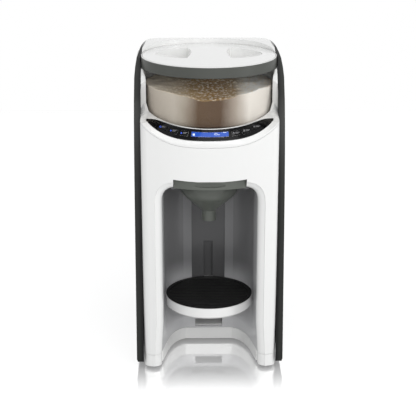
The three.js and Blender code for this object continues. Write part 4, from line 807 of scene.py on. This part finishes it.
# Stirring drive
# A small gearmotor under the deck turns an acetal pinion and gear. A steel shaft in a steel
# bush carries the turn up to the acetal coupling, and four screws hold the deck.
brushed_steel = even_finish("brushed_steel", (0.5, 0.5, 0.51), 0.32, grain=0.1, metal=1.0)
for node, body in (("shaft_bush", "body"), ("drive_shaft", "drive"), ("gearmotor", "body")):
    moulded_copy(node, body, brushed_steel)
for screw in range(1, 5):
    moulded_copy(f"deck_screw_{screw}", "body", brushed_steel)
for node, body in (
    ("drive_coupling", "drive"), ("drive_gear", "drive"), ("pinion", "motor_pinion")
):
    moulded_copy(node, body, acetal_white)

# Water side and electronics
# A cast heater, a pump and silicone hoses stand between the nook and the charcoal back
# panel, which six screws hold. One circuit board is beside them and one behind the keys.
moulded_copy("back_panel", "body", charcoal_satin)
back_low, back_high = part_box("back_panel")
back_screw_inset = 0.012
back_screw_rows = (
    back_low[2] + back_screw_inset, 0.5 * (back_low[2] + back_high[2]),
    back_high[2] - back_screw_inset,
)
screwed(
    "back_screws", "body",
    [
        (side * screw_column, back_high[1] + 0.0002, z)
        for side in (-1, 1)
        for z in back_screw_rows
    ],
    (-math.pi / 2, 0.0, 0.0),
    height=0.0006,
)
moulded_copy("pump", "body", charcoal_satin)
cast_alloy = even_finish("cast_alloy", (0.55, 0.55, 0.56), 0.45, grain=0.3, metal=1.0)
moulded_copy("heater", "body", cast_alloy)
board_green = even_finish("board_green", (0.015, 0.10, 0.04), 0.35, grain=0.1, edge=0.0002)
moulded_copy("control_board", "body", board_green)
moulded_copy("main_board", "body", board_green)
for hose in ("hose_to_pump", "hose_to_heater", "hose_to_nozzle"):
    moulded_copy(hose, "body", silicone_pale, crease=60.0)
moulded_copy("water_nozzle", "body", acetal_white)
moulded_copy("power_gland", "body", pad_rubber)

# Rear tank
# Smoke-tinted clear tank with a white hinged lid and level marks printed down its back. Its
# silicone valve opens as the tank seats on the socket in the base.
smoke_clear = finish(
    "smoke_clear",
    {
        "Base Color": (0.62, 0.66, 0.68, 1), "Roughness": 0.05,
        "Transmission Weight": 1.0, "IOR": 1.25,
    },
)[0]
moulded_copy("water_tank", "tank", smoke_clear)
level_ink = ink("level_ink", (0.75, 0.76, 0.77), 0.0)
level_marks, given, (level_count, level_step, level_size) = grouped(
    "level_marks", ("Count", "Int"), ("Step", "Vector"), ("Mark size", "Vector")
)
level_column = wired(
    level_marks, "GeometryNodeMeshLine", {"Count": given["Count"], "Offset": given["Step"]}
)
level_mark = wired(level_marks, "GeometryNodeMeshCube", {"Size": given["Mark size"]})
laid_out(level_marks, level_column, level_mark, level_ink)
tank_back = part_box("water_tank")[1][1]
level_spacing = 0.040
long_mark = 0.012
short_mark = 0.007
level_middle = 0.048
for order, (count, width, lowest) in enumerate(
    ((6, long_mark, 0.060), (5, short_mark, 0.080)), start=1
):
    marks = grown(
        f"level_marks_{order}", level_marks,
        (
            (level_count, count), (level_step, (0.0, 0.0, level_spacing)),
            (level_size, (width, 0.0002, 0.0009)),
        ),
        shift=(level_middle - 0.5 * (long_mark - width), tank_back + 0.00005, lowest),
    )
    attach(marks, "tank")
moulded_copy("tank_lid", "tank_cover", white_gloss)
moulded_copy("tank_lid_pin", "tank", brushed_steel)
moulded_copy("tank_valve", "tank", silicone_pale)
moulded_copy("valve_plunger", "plunger", acetal_white)
moulded_copy("tank_socket", "body", acetal_white)
